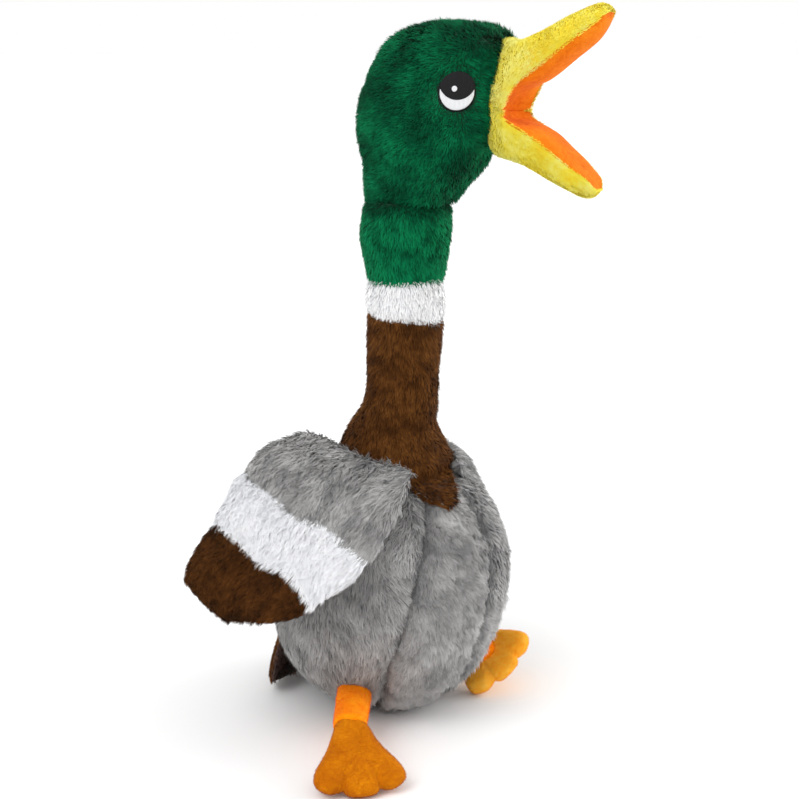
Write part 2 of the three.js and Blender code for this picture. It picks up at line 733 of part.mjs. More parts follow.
// Legs: short stuffed tubes, each with a ball at the hip and one at the ankle, and a webbed foot

const footOutline = [
  // share of the half width, share of the length
  [0, -0.16],
  [-0.3, -0.06],
  [-0.56, 0.34],
  [-0.98, 0.72],
  [-0.94, 0.92],
  [-0.66, 0.96],
  [-0.42, 0.84],
  [-0.26, 0.98],
  [0, 1.04],
  [0.26, 0.98],
  [0.42, 0.84],
  [0.66, 0.96],
  [0.94, 0.92],
  [0.98, 0.72],
  [0.56, 0.34],
  [0.3, -0.06],
];

// A padded foot lying level, its ankle at the origin and its toes along -Y
function footForm(grow) {
  const middle = v3(0, -footLength * 0.55, 0);
  const rings = [-80, -45, 0, 45, 80].map((rise) => footOutline.map(([x, y]) => {
    const point = v3((footWidth / 2) * x, -footLength * y, 0).sub(middle);
    const inset = footEdge * (1 - Math.cos(rad(rise))) - grow;
    point.setLength(point.length() - inset).add(middle);
    return point.setZ((footThickness / 2 + grow) * Math.sin(rad(rise)));
  }));
  return loft(rings);
}

function legForm(hip, ankle) {
  const way = ankle.clone().sub(hip).normalize();
  const across = v3(-way.y, way.x, 0).normalize();
  const up = way.clone().cross(across).multiplyScalar(-1);
  const rings = [0, 0.5, 1].map((t) => {
    const middle = hip.clone().lerp(ankle, t);
    const wide = legRadius + (ankleRadius - legRadius) * 0.6 * t;
    const high = ankleRadius;
    const ring = [];
    for (let s = 0; s < limbSides; s += 1) {
      const turn = (2 * Math.PI * s) / limbSides;
      ring.push(middle.clone().addScaledVector(across, wide * Math.cos(turn))
        .addScaledVector(up, high * Math.sin(turn)));
    }
    return ring;
  });
  return loft(rings);
}

for (const { label, hip, ankle, turn, roll } of legs) {
  const legGroup = groupAt(body, ...hip);
  const footGroup = groupAt(legGroup, ...ankle);
  // The sole tips down until its lowest toe meets the floor
  const set = (solid, pitch) => turned(
    turned(turned(solid, v3(0, 0, 0), v3(0, 1, 0), roll), v3(0, 0, 0), v3(1, 0, 0), pitch),
    v3(0, 0, 0), v3(0, 0, 1), turn,
  ).translate([ankle.x, ankle.y, ankle.z]);
  let pitch = 0;
  while (pitch < 60 && set(footForm(0), pitch + 0.5).boundingBox().min[2] > seatGap) pitch += 0.5;
  const socket = ball(ankle, ankleRadius + bendGap, 14);
  const trunk = bodyForm(wingRest);
  const outer = set(footForm(0), pitch).subtract(socket).subtract(trunk);
  const inner = set(footForm(-shortPlush), pitch);
  const upperSide = set(above(0), pitch);
  const lowerSide = set(below(-seamGap), pitch);
  const shell = outer.subtract(inner);
  addPiece(footGroup, `foot_${label}_top`, shell.intersect(upperSide), footOrange);
  addPiece(footGroup, `foot_${label}_sole`, shell.intersect(lowerSide), footOrange);
  addPiece(footGroup, `foot_${label}_stuffing`, set(footForm(-shortPlush - seamGap), pitch).subtract(socket).subtract(trunk), filling);
  const limb = ball(hip, hipRadius, 14).add(legForm(hip, ankle).subtract(trunk));
  const leg = limb.subtract(set(footForm(heelGap), pitch)).add(ball(ankle, ankleRadius, 14).subtract(trunk));
  addPiece(legGroup, `leg_${label}`, leg, footOrange);
}

export default duck;
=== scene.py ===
import math
import bpy
import numpy as np
from mathutils.bvhtree import BVHTree
from mathutils import Matrix, Vector, noise


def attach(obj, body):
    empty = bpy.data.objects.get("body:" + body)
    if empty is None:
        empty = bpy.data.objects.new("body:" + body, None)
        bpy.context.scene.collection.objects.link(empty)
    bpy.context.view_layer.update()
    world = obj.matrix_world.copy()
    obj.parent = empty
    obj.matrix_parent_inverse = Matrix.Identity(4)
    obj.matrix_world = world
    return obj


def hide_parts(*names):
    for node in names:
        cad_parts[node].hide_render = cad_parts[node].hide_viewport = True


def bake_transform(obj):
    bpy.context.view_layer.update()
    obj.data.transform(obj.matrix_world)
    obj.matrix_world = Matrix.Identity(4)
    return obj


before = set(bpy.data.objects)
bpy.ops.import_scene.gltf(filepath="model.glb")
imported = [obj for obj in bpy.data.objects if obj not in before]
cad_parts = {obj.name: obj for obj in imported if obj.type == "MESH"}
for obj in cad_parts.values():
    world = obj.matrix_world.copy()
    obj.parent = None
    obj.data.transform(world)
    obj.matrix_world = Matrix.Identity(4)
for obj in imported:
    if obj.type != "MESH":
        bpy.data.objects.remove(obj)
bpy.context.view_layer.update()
mm = 0.001
print("stage: frame loaded")


# Shader and geometry nodes, written as expressions

class Link:  # one output of a node
    def __init__(self, board, node, out=0):
        self.board, self.node = board, node
        self.socket = node.outputs[out] if node.outputs else None

    def also(self, out):
        return Link(self.board, self.node, out)

    def maths(self, operation, *values):
        return self.board.node("ShaderNodeMath", {"operation": operation}, dict(enumerate(values)))


for sign, operation in (("add", "ADD"), ("sub", "SUBTRACT"), ("mul", "MULTIPLY"), ("truediv", "DIVIDE")):
    setattr(Link, f"__{sign}__", lambda self, other, kind=operation: self.maths(kind, self, other))
    setattr(Link, f"__r{sign}__", lambda self, other, kind=operation: self.maths(kind, other, self))


class Board:  # a node tree that is being filled
    def __init__(self, tree):
        self.tree = tree

    def node(self, kind, settings={}, sockets={}, out=0):
        made = self.tree.nodes.new(kind)
        for key, value in settings.items():
            if key == "stops":
                ramp = made.color_ramp
                while len(ramp.elements) < len(value):
                    ramp.elements.new(0.5)
                for element, (place, colour) in zip(ramp.elements, value):
                    element.position, element.color = place, (*colour, 1)
            else:
                setattr(made, key, value)
        for key, value in sockets.items():
            if isinstance(value, Link):
                self.tree.links.new(value.socket, made.inputs[key])
            elif value is not None:
                made.inputs[key].default_value = value
        return Link(self, made, out)

    def vector(self, operation, *values, **more):
        sockets = {**dict(enumerate(values)), **more}
        return self.node("ShaderNodeVectorMath", {"operation": operation}, sockets)

    def mixed(self, factor, a, b):  # colours
        return self.node("ShaderNodeMix", {"data_type": "RGBA"}, {0: factor, 6: a, 7: b}, 2)

    def noise(self, place, scale, detail=3, rough=0.5, out=0):
        sockets = {"Vector": place, "Scale": scale, "Detail": detail, "Roughness": rough}
        return self.node("ShaderNodeTexNoise", {}, sockets, out)

    def ownPlace(self):  # Object coordinates
        return self.node("ShaderNodeTexCoord", {}, {}, "Object")

    def ramp(self, factor, *stops):
        return self.node("ShaderNodeValToRGB", {"stops": stops}, {"Fac": factor})

    def bump(self, height, strength, distance, under=None):
        sockets = {"Strength": strength, "Distance": distance, "Height": height, "Normal": under}
        return self.node("ShaderNodeBump", {}, sockets)

    def attribute(self, name):
        return self.node("ShaderNodeAttribute", {"attribute_name": name}, {}, "Fac")


def colour(r, g, b):  # a display colour, 0 to 255, as a shader takes it
    return tuple((c / 255 / 12.92 if c <= 10 else ((c / 255 + 0.055) / 1.055) ** 2.4) for c in (r, g, b))


def rgba(c):
    return (*c, 1)


# Materials: backing cloth, fibres, short brushed cloth

def newMaterial(name):
    made = bpy.data.materials.new(name)
    made.use_nodes = True
    made.node_tree.nodes.clear()
    return made, Board(made.node_tree)


def finishMaterial(board, base, roughness, normal=None, sheen=None, sheenRoughness=None, specular=None):
    shader = board.node("ShaderNodeBsdfPrincipled", {}, {
        "Base Color": base, "Roughness": roughness, "Normal": normal,
        "Sheen Weight": sheen, "Sheen Roughness": sheenRoughness, "Specular IOR Level": specular,
    })
    board.node("ShaderNodeOutputMaterial", {}, {"Surface": shader})


# woven backing and the foot of the pile, seen between the fibres
def backingMaterial(name, dark, light):
    cloth = dict(patch=26, grain=420, tufts=189, contrast=1.4, fineContrast=1.2, bump=0.5, depth=0.001)
    made, b = newMaterial(name)
    place = b.ownPlace()
    broad = b.noise(place, cloth["patch"], 3)
    fine = b.noise(place, cloth["grain"], 2)
    tone = (broad - 0.5) * cloth["contrast"] + (fine - 0.5) * cloth["fineContrast"] + 0.5
    base = b.ramp(tone, (0.2, dark), (0.8, light))
    bumped = b.bump(b.noise(place, cloth["tufts"], 4), cloth["bump"], cloth["depth"])
    finishMaterial(b, base, 0.86 + 0.12 * fine, bumped, sheen=0.35, sheenRoughness=0.5, specular=0.25)
    return made


# the pile's fibres: "tone" is one fibre's shade, "along" runs from its root to its tip
def pileMaterial(name, deep, mid, bright, sheen):
    made, b = newMaterial(name)
    along = b.attribute("along")
    # fibres darker towards their roots: painted shade deep in the pile
    shade = b.attribute("tone") * 0.78 + along * 0.22
    base = b.ramp(shade, (0.08, deep), (0.5, mid), (0.92, bright))
    finishMaterial(b, base, 0.92 - 0.1 * along, sheen=sheen, sheenRoughness=0.45, specular=0.08)
    return made


# a short brushed cloth with a fine nap: the linings, legs and feet
def velourMaterial(name, deep, mid, bright):
    cloth = dict(bend=60, bendBy=0.02, worn=34, nap=260, grain=1500, napDepth=0.0012, grainDepth=0.0003)
    made, b = newMaterial(name)
    place = b.ownPlace()
    drift = b.noise(place, cloth["bend"], 2, out="Color")
    bent = b.vector("ADD", place, b.vector("SCALE", drift, Scale=cloth["bendBy"]))
    worn = b.noise(bent, cloth["worn"], 4, 0.6)
    nap = b.noise(bent, cloth["nap"], 3, 0.6)
    grain = b.noise(place, cloth["grain"], 2, 0.7)
    tone = 0.5 + (worn - 0.5) * 1.3 + (nap - 0.5) * 0.9 + (grain - 0.5) * 0.7
    base = b.ramp(tone, (0.12, deep), (0.5, mid), (0.9, bright))
    soft = b.bump(nap, 0.5, cloth["napDepth"])
    fine = b.bump(grain, 0.55, cloth["grainDepth"], soft)
    finishMaterial(b, base, 0.82 + 0.14 * grain, fine, sheen=0.02, sheenRoughness=0.4, specular=0.1)
    return made


fur = {  # display colours: deep, mid, bright
    "grey": ((104, 104, 105), (159, 158, 157), (202, 201, 200)),
    "brown": ((36, 18, 4), (86, 50, 18), (126, 80, 36)),
    "white": ((210, 212, 217), (245, 246, 249), (255, 255, 255)),
    "green": ((0, 42, 24), (0, 86, 52), (8, 130, 80)),
    "yellow": ((255, 216, 34), (255, 240, 76), (255, 250, 142)),
    "orange": ((208, 93, 2), (228, 117, 12), (238, 139, 30)),
    "foot": ((170, 86, 0), (194, 109, 0), (218, 133, 6)),
    "leg": ((228, 110, 0), (250, 135, 0), (254, 160, 16)),
    # the left foot's copy of the orange velour, painted lighter: painted light on a foot that lies in the
    # body's shade
    "litFoot": ((255, 158, 28), (255, 184, 56), (255, 202, 90)),
    "dark": ((66, 48, 44), (100, 78, 72), (126, 102, 94)),
}
backing, pile, velour = {}, {}, {}
for name, shades in fur.items():
    deep, mid, bright = [colour(*shade) for shade in shades]
    if name in ("orange", "foot", "leg", "litFoot"):
        velour[name] = velourMaterial(name + "Velour", deep, mid, bright)
    else:
        # the backing takes the fur's deep and mid colours, darker than the fibres: painted shade at the
        # foot of the pile
        backing[name] = backingMaterial(name + "Backing", deep, mid)
    if name != "orange":
        sheen = 0.3 if name in ("grey", "white") else 0.03
        pile[name] = pileMaterial(name + "Pile", deep, mid, bright, sheen)
print("stage: materials made")


# Surfaces: lofts, noise and seams, all in millimetres

def curve(p, f):  # a point at share f between the middle two of four
    return 0.5 * (2 * p[1] + (p[2] - p[0]) * f + (2 * p[0] - 5 * p[1] + 4 * p[2] - p[3]) * f ** 2
                  + (3 * p[1] - p[0] - 3 * p[2] + p[3]) * f ** 3)


def smoothRows(rows, steps):  # a smooth row of values at equal steps through a few chosen ones
    rows = np.array(rows, float)
    t = np.linspace(0, len(rows) - 1, steps + 1)
    i = np.minimum(np.floor(t).astype(int), len(rows) - 2)
    f = (t - i)[:, None]
    return curve([rows[np.clip(i + k, 0, len(rows) - 1)] for k in (-1, 0, 1, 2)], f)


def gridFaces(rows, sides, closed=True):
    faces = []
    for r in range(rows - 1):
        for s in range(sides if closed else sides - 1):
            a, c = r * sides + s, r * sides + (s + 1) % sides
            faces.append((a, c, c + sides, a + sides))
    return faces


def meshObject(name, points, faces, materials=(), pick=None):  # points in millimetres
    mesh = bpy.data.meshes.new(name)
    mesh.from_pydata([tuple(p) for p in np.asarray(points) * mm], [], faces)
    for m in materials:
        mesh.materials.append(m)
    if pick is not None:
        mesh.polygons.foreach_set("material_index", np.asarray(pick, np.int32))
    mesh.polygons.foreach_set("use_smooth", [True] * len(mesh.polygons))
    mesh.validate()
    mesh.update()
    made = bpy.data.objects.new(name, mesh)
    bpy.context.scene.collection.objects.link(made)
    return made


def loftPoints(rings):  # rings of equally many points, closed with a pole at each end
    rings = np.asarray(rings, float)
    rows, sides = rings.shape[:2]
    points = np.concatenate([rings.reshape(-1, 3), rings[0].mean(0)[None], rings[-1].mean(0)[None]])
    faces = gridFaces(rows, sides)
    last = (rows - 1) * sides
    for s in range(sides):
        n = (s + 1) % sides
        faces.append((n, s, rows * sides))
        faces.append((last + s, last + n, rows * sides + 1))
    if volumeOf(points, faces) < 0:
        faces = [f[::-1] for f in faces]
    return points, faces


def volumeOf(points, faces):
    total = 0
    for f in faces:
        a = points[f[0]]
        for i in range(1, len(f) - 1):
            total += np.dot(a, np.cross(points[f[i]], points[f[i + 1]]))
    return total


def normalsOf(points, faces):
    out = np.zeros_like(points)
    quads = np.array([f for f in faces if len(f) == 4])
    tris = np.array([f for f in faces if len(f) == 3]).reshape(-1, 3)
    for f, a, b in ((quads, 2, 3), (tris, 1, 2)):
        if len(f):
            start = points[f[:, 1 if a == 2 else 0]]
            n = np.cross(points[f[:, a]] - points[f[:, 0]], points[f[:, b]] - start)
            for k in range(f.shape[1]):
                np.add.at(out, f[:, k], n)
    return out / np.maximum(np.linalg.norm(out, axis=1), 1e-9)[:, None]


def lumps(points, size, seed=0):  # smooth noise from -1 to 1, lumps of a size in millimetres
    shift = Vector((seed * 17.3, seed * 5.1, seed * 9.7))
    return np.array([noise.noise(Vector(p / size) + shift) for p in points])


def swirls(points, size, seed, flat=False):  # slow noise that turns the way the pile lies
    rise = 0 * points[:, 0] if flat else lumps(points, size, seed + 2)
    return np.stack([lumps(points, size, seed), lumps(points, size, seed + 1), rise], 1)


def unit(way):
    return way / np.linalg.norm(way)


def tangents(normals, ways):  # each way laid along the surface
    flat = ways - normals * np.sum(ways * normals, axis=1)[:, None]
    return flat / np.maximum(np.linalg.norm(flat, axis=1), 1e-6)[:, None]


# Pile: curved fibres set over a surface by one Geometry Nodes group

def makeFibre():  # one fibre, a unit long and a unit wide, arching from its root to its tip
    bend, arch, tip = 0.55, 0.05, -0.14  # height of the bend, and how far it and the tip lean
    half, slim = 0.5, 0.42
    points = [(0, -half, 0), (0, half, 0), (arch, -slim, bend), (arch, slim, bend), (tip, 0, 1)]
    mesh = bpy.data.meshes.new("fibre")
    mesh.from_pydata(points, [], [(0, 1, 3), (0, 3, 2), (2, 3, 4)], shade_flat=False)
    for name, values in (("along", (0, 0, bend, bend, 1)), ("edge", (-1, 1, -1, 1, 0))):
        mesh.attributes.new(name, "FLOAT", "POINT").data.foreach_set("value", values)
    return bpy.data.objects.new("fibre", mesh)


pileNumbers = ("Density", "Length", "Width", "Rise", "Lay", "Stray", "Clump", "Clump Size", "Tone Size",
               "Tone Spread")


def makePileTree():
    tree = bpy.data.node_groups.new("plushPile", "GeometryNodeTree")
    given = {"Surface": "Geometry", "Fibre": "Object", "Pile Material": "Material"}
    for name, kind in [*given.items(), *[(name, "Float") for name in pileNumbers], ("Seed", "Int")]:
        tree.interface.new_socket(name, in_out="INPUT", socket_type="NodeSocket" + kind)
    tree.interface.new_socket("Pile", in_out="OUTPUT", socket_type="NodeSocketGeometry")
    b = Board(tree)
    part = b.node("NodeGroupInput").also

    def named(name, kind="FLOAT"):
        return b.node("GeometryNodeInputNamedAttribute", {"data_type": kind}, {"Name": name})

    def chance(low, high, shift):
        sockets = {2: low, 3: high, "Seed": part("Seed") + shift}
        return b.node("FunctionNodeRandomValue", {"data_type": "FLOAT"}, sockets, 1)

    def scaled(way, size):
        return b.vector("SCALE", way, Scale=size)

    def kept(geometry, name, value, domain, kind="FLOAT"):
        sockets = {"Geometry": geometry, "Name": name, "Value": value}
        return b.node("GeometryNodeStoreNamedAttribute", {"data_type": kind, "domain": domain}, sockets)

    density = part("Density") * named("mask")
    spots = b.node("GeometryNodeDistributePointsOnFaces", {"distribute_method": "RANDOM"},
                   {"Mesh": part("Surface"), "Density": density, "Seed": part("Seed")})
    outward = spots.also("Normal")
    place = b.node("GeometryNodeInputPosition")
    scatter = b.node("FunctionNodeRandomValue", {"data_type": "FLOAT_VECTOR"},
                     {0: (-1, -1, -1), 1: (1, 1, 1), "Seed": part("Seed") + 5})
    tuft = b.vector("SUBTRACT", b.noise(place, 1 / part("Clump Size"), 2, out="Color"), (0.5, 0.5, 0.5))
    way = scaled(outward, part("Rise"))
    comb = named("comb", "FLOAT_VECTOR")
    for pull, share in ((comb, part("Lay")), (tuft, part("Clump")), (scatter, part("Stray"))):
        way = b.vector("ADD", way, scaled(pull, share))
    upright = b.node("FunctionNodeAlignRotationToVector", {"axis": "Z"}, {"Vector": way})
    facing = b.node("FunctionNodeAlignRotationToVector", {"axis": "X", "pivot_axis": "Z"},
                    {"Rotation": upright, "Vector": outward})
    twist = b.node("FunctionNodeAxisAngleToRotation", {},
                   {"Axis": (0, 0, 1), "Angle": chance(-0.9, 0.9, 1)})
    turned = b.node("FunctionNodeRotateRotation", {"rotation_space": "LOCAL"},
                    {"Rotation": facing, "Rotate By": twist})
    grain = b.noise(place, 1 / part("Clump Size"), 2)
    long = part("Length") * named("lengthen") * chance(0.7, 1.12, 2) * (0.55 + 0.9 * grain)
    wide = part("Width") * chance(0.75, 1.2, 3)
    size = b.node("ShaderNodeCombineXYZ", {}, {"X": long, "Y": wide, "Z": long})
    template = b.node("GeometryNodeObjectInfo", {"transform_space": "ORIGINAL"}, {"Object": part("Fibre")},
                      "Geometry")
    fibres = b.node("GeometryNodeInstanceOnPoints", {},
                    {"Points": spots, "Instance": template, "Rotation": turned, "Scale": size})
    broad = (b.noise(place, 1 / part("Tone Size"), 3) - 0.5) * part("Tone Spread")
    tone = 0.5 + broad + (grain - 0.5) * 0.72 + chance(-0.13, 0.13, 4) + named("shade")
    clear = b.node("ShaderNodeClamp", {}, {"Value": tone, "Min": 0.02, "Max": 0.98})
    fibres = kept(fibres, "tone", clear, "INSTANCE")
    fibres = kept(fibres, "outward", outward, "INSTANCE", "FLOAT_VECTOR")
    real = b.node("GeometryNodeRealizeInstances", {}, {"Geometry": fibres})
    # a map of shade against height, kept on each corner as OFBake
    across, high = named("tone") + named("edge") * 0.004, 0.02 + named("along") * 0.96
    bakeMap = b.node("ShaderNodeCombineXYZ", {}, {"X": across, "Y": high})
    real = kept(real, "OFBake", bakeMap, "CORNER", "FLOAT2")
    done = b.node("GeometryNodeSetMaterial", {}, {"Geometry": real, "Material": part("Pile Material")})
    b.node("NodeGroupOutput", {}, {"Pile": done})
    return tree


fibre, pileTree = makeFibre(), makePileTree()


def put(mesh, name, values, kind="FLOAT"):
    layer = mesh.attributes.get(name) or mesh.attributes.new(name, kind, "POINT")
    flat = np.asarray(values, np.float32).ravel()
    layer.data.foreach_set("vector" if kind == "FLOAT_VECTOR" else "value", flat)


def plainMesh(thing, name):  # the evaluated object as a mesh with no modifiers
    bpy.context.view_layer.update()
    made = bpy.data.meshes.new_from_object(thing.evaluated_get(bpy.context.evaluated_depsgraph_get()))
    made.name = name
    return made


def faceAreas(mesh):
    areas = np.empty(len(mesh.polygons))
    mesh.polygons.foreach_get("area", areas)
    return areas


def softenNormals(mesh, share):  # a fibre is lit mostly as the surface under it is, as in a soft nap
    n = len(mesh.vertices)
    outward, own = np.empty(n * 3, np.float32), np.empty(n * 3, np.float32)
    mesh.attributes["outward"].data.foreach_get("vector", outward)
    mesh.vertices.foreach_get("normal", own)
    mesh.attributes.remove(mesh.attributes["outward"])
    outward, own = outward.reshape(-1, 3), own.reshape(-1, 3)
    own = own * np.where(np.sum(own * outward, axis=1) < 0, -1, 1)[:, None]
    soft = outward * share + own * (1 - share)
    soft = soft / np.maximum(np.linalg.norm(soft, axis=1), 1e-6)[:, None]
    mesh.normals_split_custom_set_from_vertices(soft)


def growPile(name, skin, kind, values, comb, mask=1, lengthen=1, shade=0, seed=1):
    mesh = skin.data
    n = len(mesh.vertices)
    full = lambda v: np.broadcast_to(np.asarray(v, float), (n,))
    mask = full(mask)
    for attribute, v in (("mask", mask), ("lengthen", full(lengthen)), ("shade", full(shade))):
        put(mesh, attribute, v)
    put(mesh, "comb", comb, "FLOAT_VECTOR")
    share = np.array([mask[list(p.vertices)].mean() for p in mesh.polygons])
    thinned, widened = ((1, 1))
    density = values["count"] * thinned / max((faceAreas(mesh) * share).sum(), 1e-9)
    grower = skin.modifiers.new("pile", "NODES")
    grower.node_group = pileTree
    given = {
        "Fibre": fibre, "Pile Material": pile[kind], "Density": density, "Seed": seed,
        "Length": values["length"] * mm, "Width": values["width"] * mm * widened,
        "Rise": values["rise"], "Lay": values["lay"], "Stray": values["stray"],
        "Clump": values["clump"], "Clump Size": values["clumpSize"] * mm,
        "Tone Size": values["toneSize"] * mm, "Tone Spread": values["toneSpread"],
    }
    for item in pileTree.interface.items_tree:
        if item.name in given:
            grower[item.identifier] = given[item.name]
    made = bpy.data.objects.new(name, plainMesh(skin, name))
    skin.modifiers.remove(grower)
    for attribute in ("mask", "lengthen", "shade", "comb"):
        mesh.attributes.remove(mesh.attributes[attribute])
        if attribute in made.data.attributes:
            made.data.attributes.remove(made.data.attributes[attribute])
    softenNormals(made.data, values["soft"])
    p, _ = readPoints(made)
    p[:, 2] = np.maximum(p[:, 2], 0.2)
    writePoints(made, p)
    bpy.context.scene.collection.objects.link(made)
    return made


# lengths in millimetres; rise, lay, stray and clump are the pulls on a fibre's way;
# soft is how far it takes the light of the skin under it
longPile = dict(count=54000, length=7, width=0.52, rise=0.58, lay=0.8, stray=0.15, clump=1.35,
                clumpSize=4.6, toneSize=17, toneSpread=1.5, soft=0.8)
shortPile = dict(count=26000, length=2.6, width=0.4, rise=0.9, lay=0.4, stray=0.2, clump=0.8, clumpSize=2.2,
                 toneSize=18, toneSpread=0.7, soft=0.5)


# Stuffing: the cloth swells between its seams

clothRun = dict(pressure=4.0, frames=20, leastPin=0.01)


def puffed(points, faces, pins, cap):  # swollen by no more than the cap, and held where the pins are
    cloth = meshObject("clothRun", points, faces)
    held = cloth.vertex_groups.new(name="seams")
    for i, w in enumerate(np.clip(pins, 0, 1)):
        if w > clothRun["leastPin"]:
            held.add([i], float(w), "REPLACE")
    run = cloth.modifiers.new("Cloth", "CLOTH")
    run.settings.use_pressure = True
    run.settings.uniform_pressure_force = clothRun["pressure"]
    run.settings.vertex_group_mass = "seams"
    run.settings.effector_weights.gravity = 0
    run.collision_settings.use_self_collision = False
    scene = bpy.context.scene
    for frameNumber in range(1, clothRun["frames"] + 1):
        scene.frame_set(frameNumber)
    swollen = plainMesh(cloth, "clothDone")
    reached = np.empty(len(swollen.vertices) * 3)
    swollen.vertices.foreach_get("co", reached)
    bpy.data.meshes.remove(swollen)
    scene.frame_set(1)
    bpy.data.objects.remove(cloth)
    move = reached.reshape(-1, 3) / mm - points
    far = np.linalg.norm(move, axis=1)
    return points + move * np.minimum(1, cap / np.maximum(far, 1e-9))[:, None]


def refined(name, points, faces, materials, pick=None):
    rough = meshObject(name, points, faces, materials, pick)
    smoothing = rough.modifiers.new("smoothing", "SUBSURF")
    smoothing.levels = smoothing.render_levels = 1
    mesh = plainMesh(rough, name)
    rough.modifiers.remove(smoothing)
    old, rough.data = rough.data, mesh
    bpy.data.meshes.remove(old)
    return rough


def readPoints(thing):
    n = len(thing.data.vertices)
    points, normals = np.empty(n * 3), np.empty(n * 3)
    thing.data.vertices.foreach_get("co", points)
    thing.data.vertices.foreach_get("normal", normals)
    return points.reshape(-1, 3) / mm, normals.reshape(-1, 3)


def writePoints(thing, points):
    thing.data.vertices.foreach_set("co", (points * mm).ravel())
    thing.data.update()


def clothZones(skin, cloths):  # for each point, which of the skin's cloths it touches
    zones = np.zeros((len(skin.data.vertices), cloths), bool)
    for polygon in skin.data.polygons:
        zones[list(polygon.vertices), polygon.material_index] = True
    return zones


def surfaceUnder(thing):
    points = [tuple(v.co / mm) for v in thing.data.vertices]
    return BVHTree.FromPolygons(points, [tuple(p.vertices) for p in thing.data.polygons])


def dip(distance, depth, width):  # a seam's groove
    return -depth * np.exp(-(distance / width) ** 2)


def step(low, high, value):
    t = np.clip((value - low) / (high - low), 0, 1)
    return t * t * (3 - 2 * t)


print("stage: tools made")


# Body: a stuffed ball with a belly panel and a seam down the back

bodyValues = dict(height=172, width=156, depth=160, gussetBack=24, sides=96, steps=64, inset=2.5,
                  swell=5, pinWidth=5, pinLow=(8, 2), pinHigh=(140, 160), seamDepth=4.2, seamWidth=3.2,
                  gatherPitch=0.42, gatherReach=9, gatherDepth=0.7, lean=(-3.4, 2.4, 0), leanTop=110,
                  leanLow=32)
# share of the height, share of the width, and shift back as a share of the depth
bodyShape = [(0, 0.2, 0), (0.05, 0.5, 0), (0.19, 0.82, 0), (0.36, 0.97, 0), (0.54, 1, 0),
             (0.72, 0.93, 0), (0.87, 0.76, 0.01), (0.96, 0.52, 0.02), (1, 0.24, 0.03)]


def ringAround(x, y, z, halfWidth, halfDepth, sides, squareness=1):
    turn = 2 * np.pi * (np.arange(sides) + 0.5) / sides
    c, s = np.cos(turn), np.sin(turn)
    wide, deep = [np.sign(v) * np.abs(v) ** squareness for v in (c, s)]
    return np.stack([x + halfWidth * wide, y + halfDepth * deep, np.full(sides, z)], 1)


def bodySize(h):  # half width, half depth and shift back at a share of the height
    rows = smoothRows(bodyShape, 200)
    r, back = np.interp(h, rows[:, 0], rows[:, 1]), np.interp(h, rows[:, 0], rows[:, 2])
    return bodyValues["width"] / 2 * r, bodyValues["depth"] / 2 * r, back * bodyValues["depth"]


gussetRight = ((0, 27), (50, 25), (100, 19.5), (155, 8))  # height, and degrees from the middle to the seam
gussetLeft = ((0, 10), (60, 11), (85, 13), (120, 17), (160, 15))


def gussetSeams(points):  # distance to the nearest seam of the body, and how far inside the belly's panel
    x, y = points[:, 0], points[:, 1]
    right, left = [np.interp(points[:, 2], *zip(*rows)) for rows in (gussetRight, gussetLeft)]
    a = np.radians(np.where(x < 0, right, left))
    inside = (bodyValues["gussetBack"] - y) * np.sin(a) - np.abs(x) * np.cos(a)
    behind = np.where(y > bodyValues["gussetBack"], np.abs(x), 1e3)
    return np.minimum(np.abs(inside), behind), inside


def bodyLean(z):  # the stuffing has settled a little towards the right wing
    v = bodyValues
    return step(v["leanTop"], v["leanLow"], z)[:, None] * np.array(v["lean"])


def makeBody():
    v = bodyValues
    rings = []
    for h, r, back in smoothRows(bodyShape, v["steps"]):
        halves = v["width"] / 2 * r, v["depth"] / 2 * r
        rings.append(ringAround(0, back * v["depth"], h * v["height"], *halves, v["sides"]))
    points, faces = loftPoints(rings)
    start = points - normalsOf(points, faces) * v["inset"]
    start[:, 2] = np.maximum(start[:, 2], 0.4)
    seam, _ = gussetSeams(start)
    sewn = np.exp(-(seam / v["pinWidth"]) ** 2)
    pins = sewn + step(*v["pinLow"], start[:, 2]) + step(*v["pinHigh"], start[:, 2])
    points = puffed(start, faces, pins, v["swell"])
    skin = refined("bodyPlush", points, faces, [backing["grey"]])
    p, n = readPoints(skin)
    seam, _ = gussetSeams(p)
    gathers = np.sin(p[:, 2] * v["gatherPitch"] + 2 * lumps(p, 20, 3))
    tug = gathers * np.exp(-(seam / v["gatherReach"]) ** 2) * v["gatherDepth"]
    groove = dip(seam, v["seamDepth"], v["seamWidth"])
    p = p + n * (groove + tug + lumps(p, 34, 1) * 1.3 + lumps(p, 13, 2) * 0.6)[:, None] + bodyLean(p[:, 2])
    p[:, 2] = np.maximum(p[:, 2], 0.3)
    writePoints(skin, p)
    return skin


bodySkin = makeBody()
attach(bodySkin, "body")
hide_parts("belly_panel", "body_side_right", "body_side_left",
            "body_stuffing_right", "body_stuffing_left")


bibValues = dict(edge=169, top=172, room=1.2, rings=9, tongue=20, tongueTurn=1.55, tongueSlimness=13,
                 lifted=173, least=0.6, more=2.2, moreBy=5, flare=(185, 172))


def bibEdge(turn):  # height of the brown's lower edge round the neck, with a tongue hanging in front
    v = bibValues
    return v["edge"] - v["tongue"] * np.maximum(0, np.cos(turn + v["tongueTurn"])) ** v["tongueSlimness"]


bodyCoat = dict(swirl=1.1, bareSeam=(0.5, 3.5), bareFloor=(-0.5, 3), hole=40, holeForward=6, holeAbove=150,
                shortest=0.45, shortReach=9, seamShade=0.3, seamShadeWidth=6)


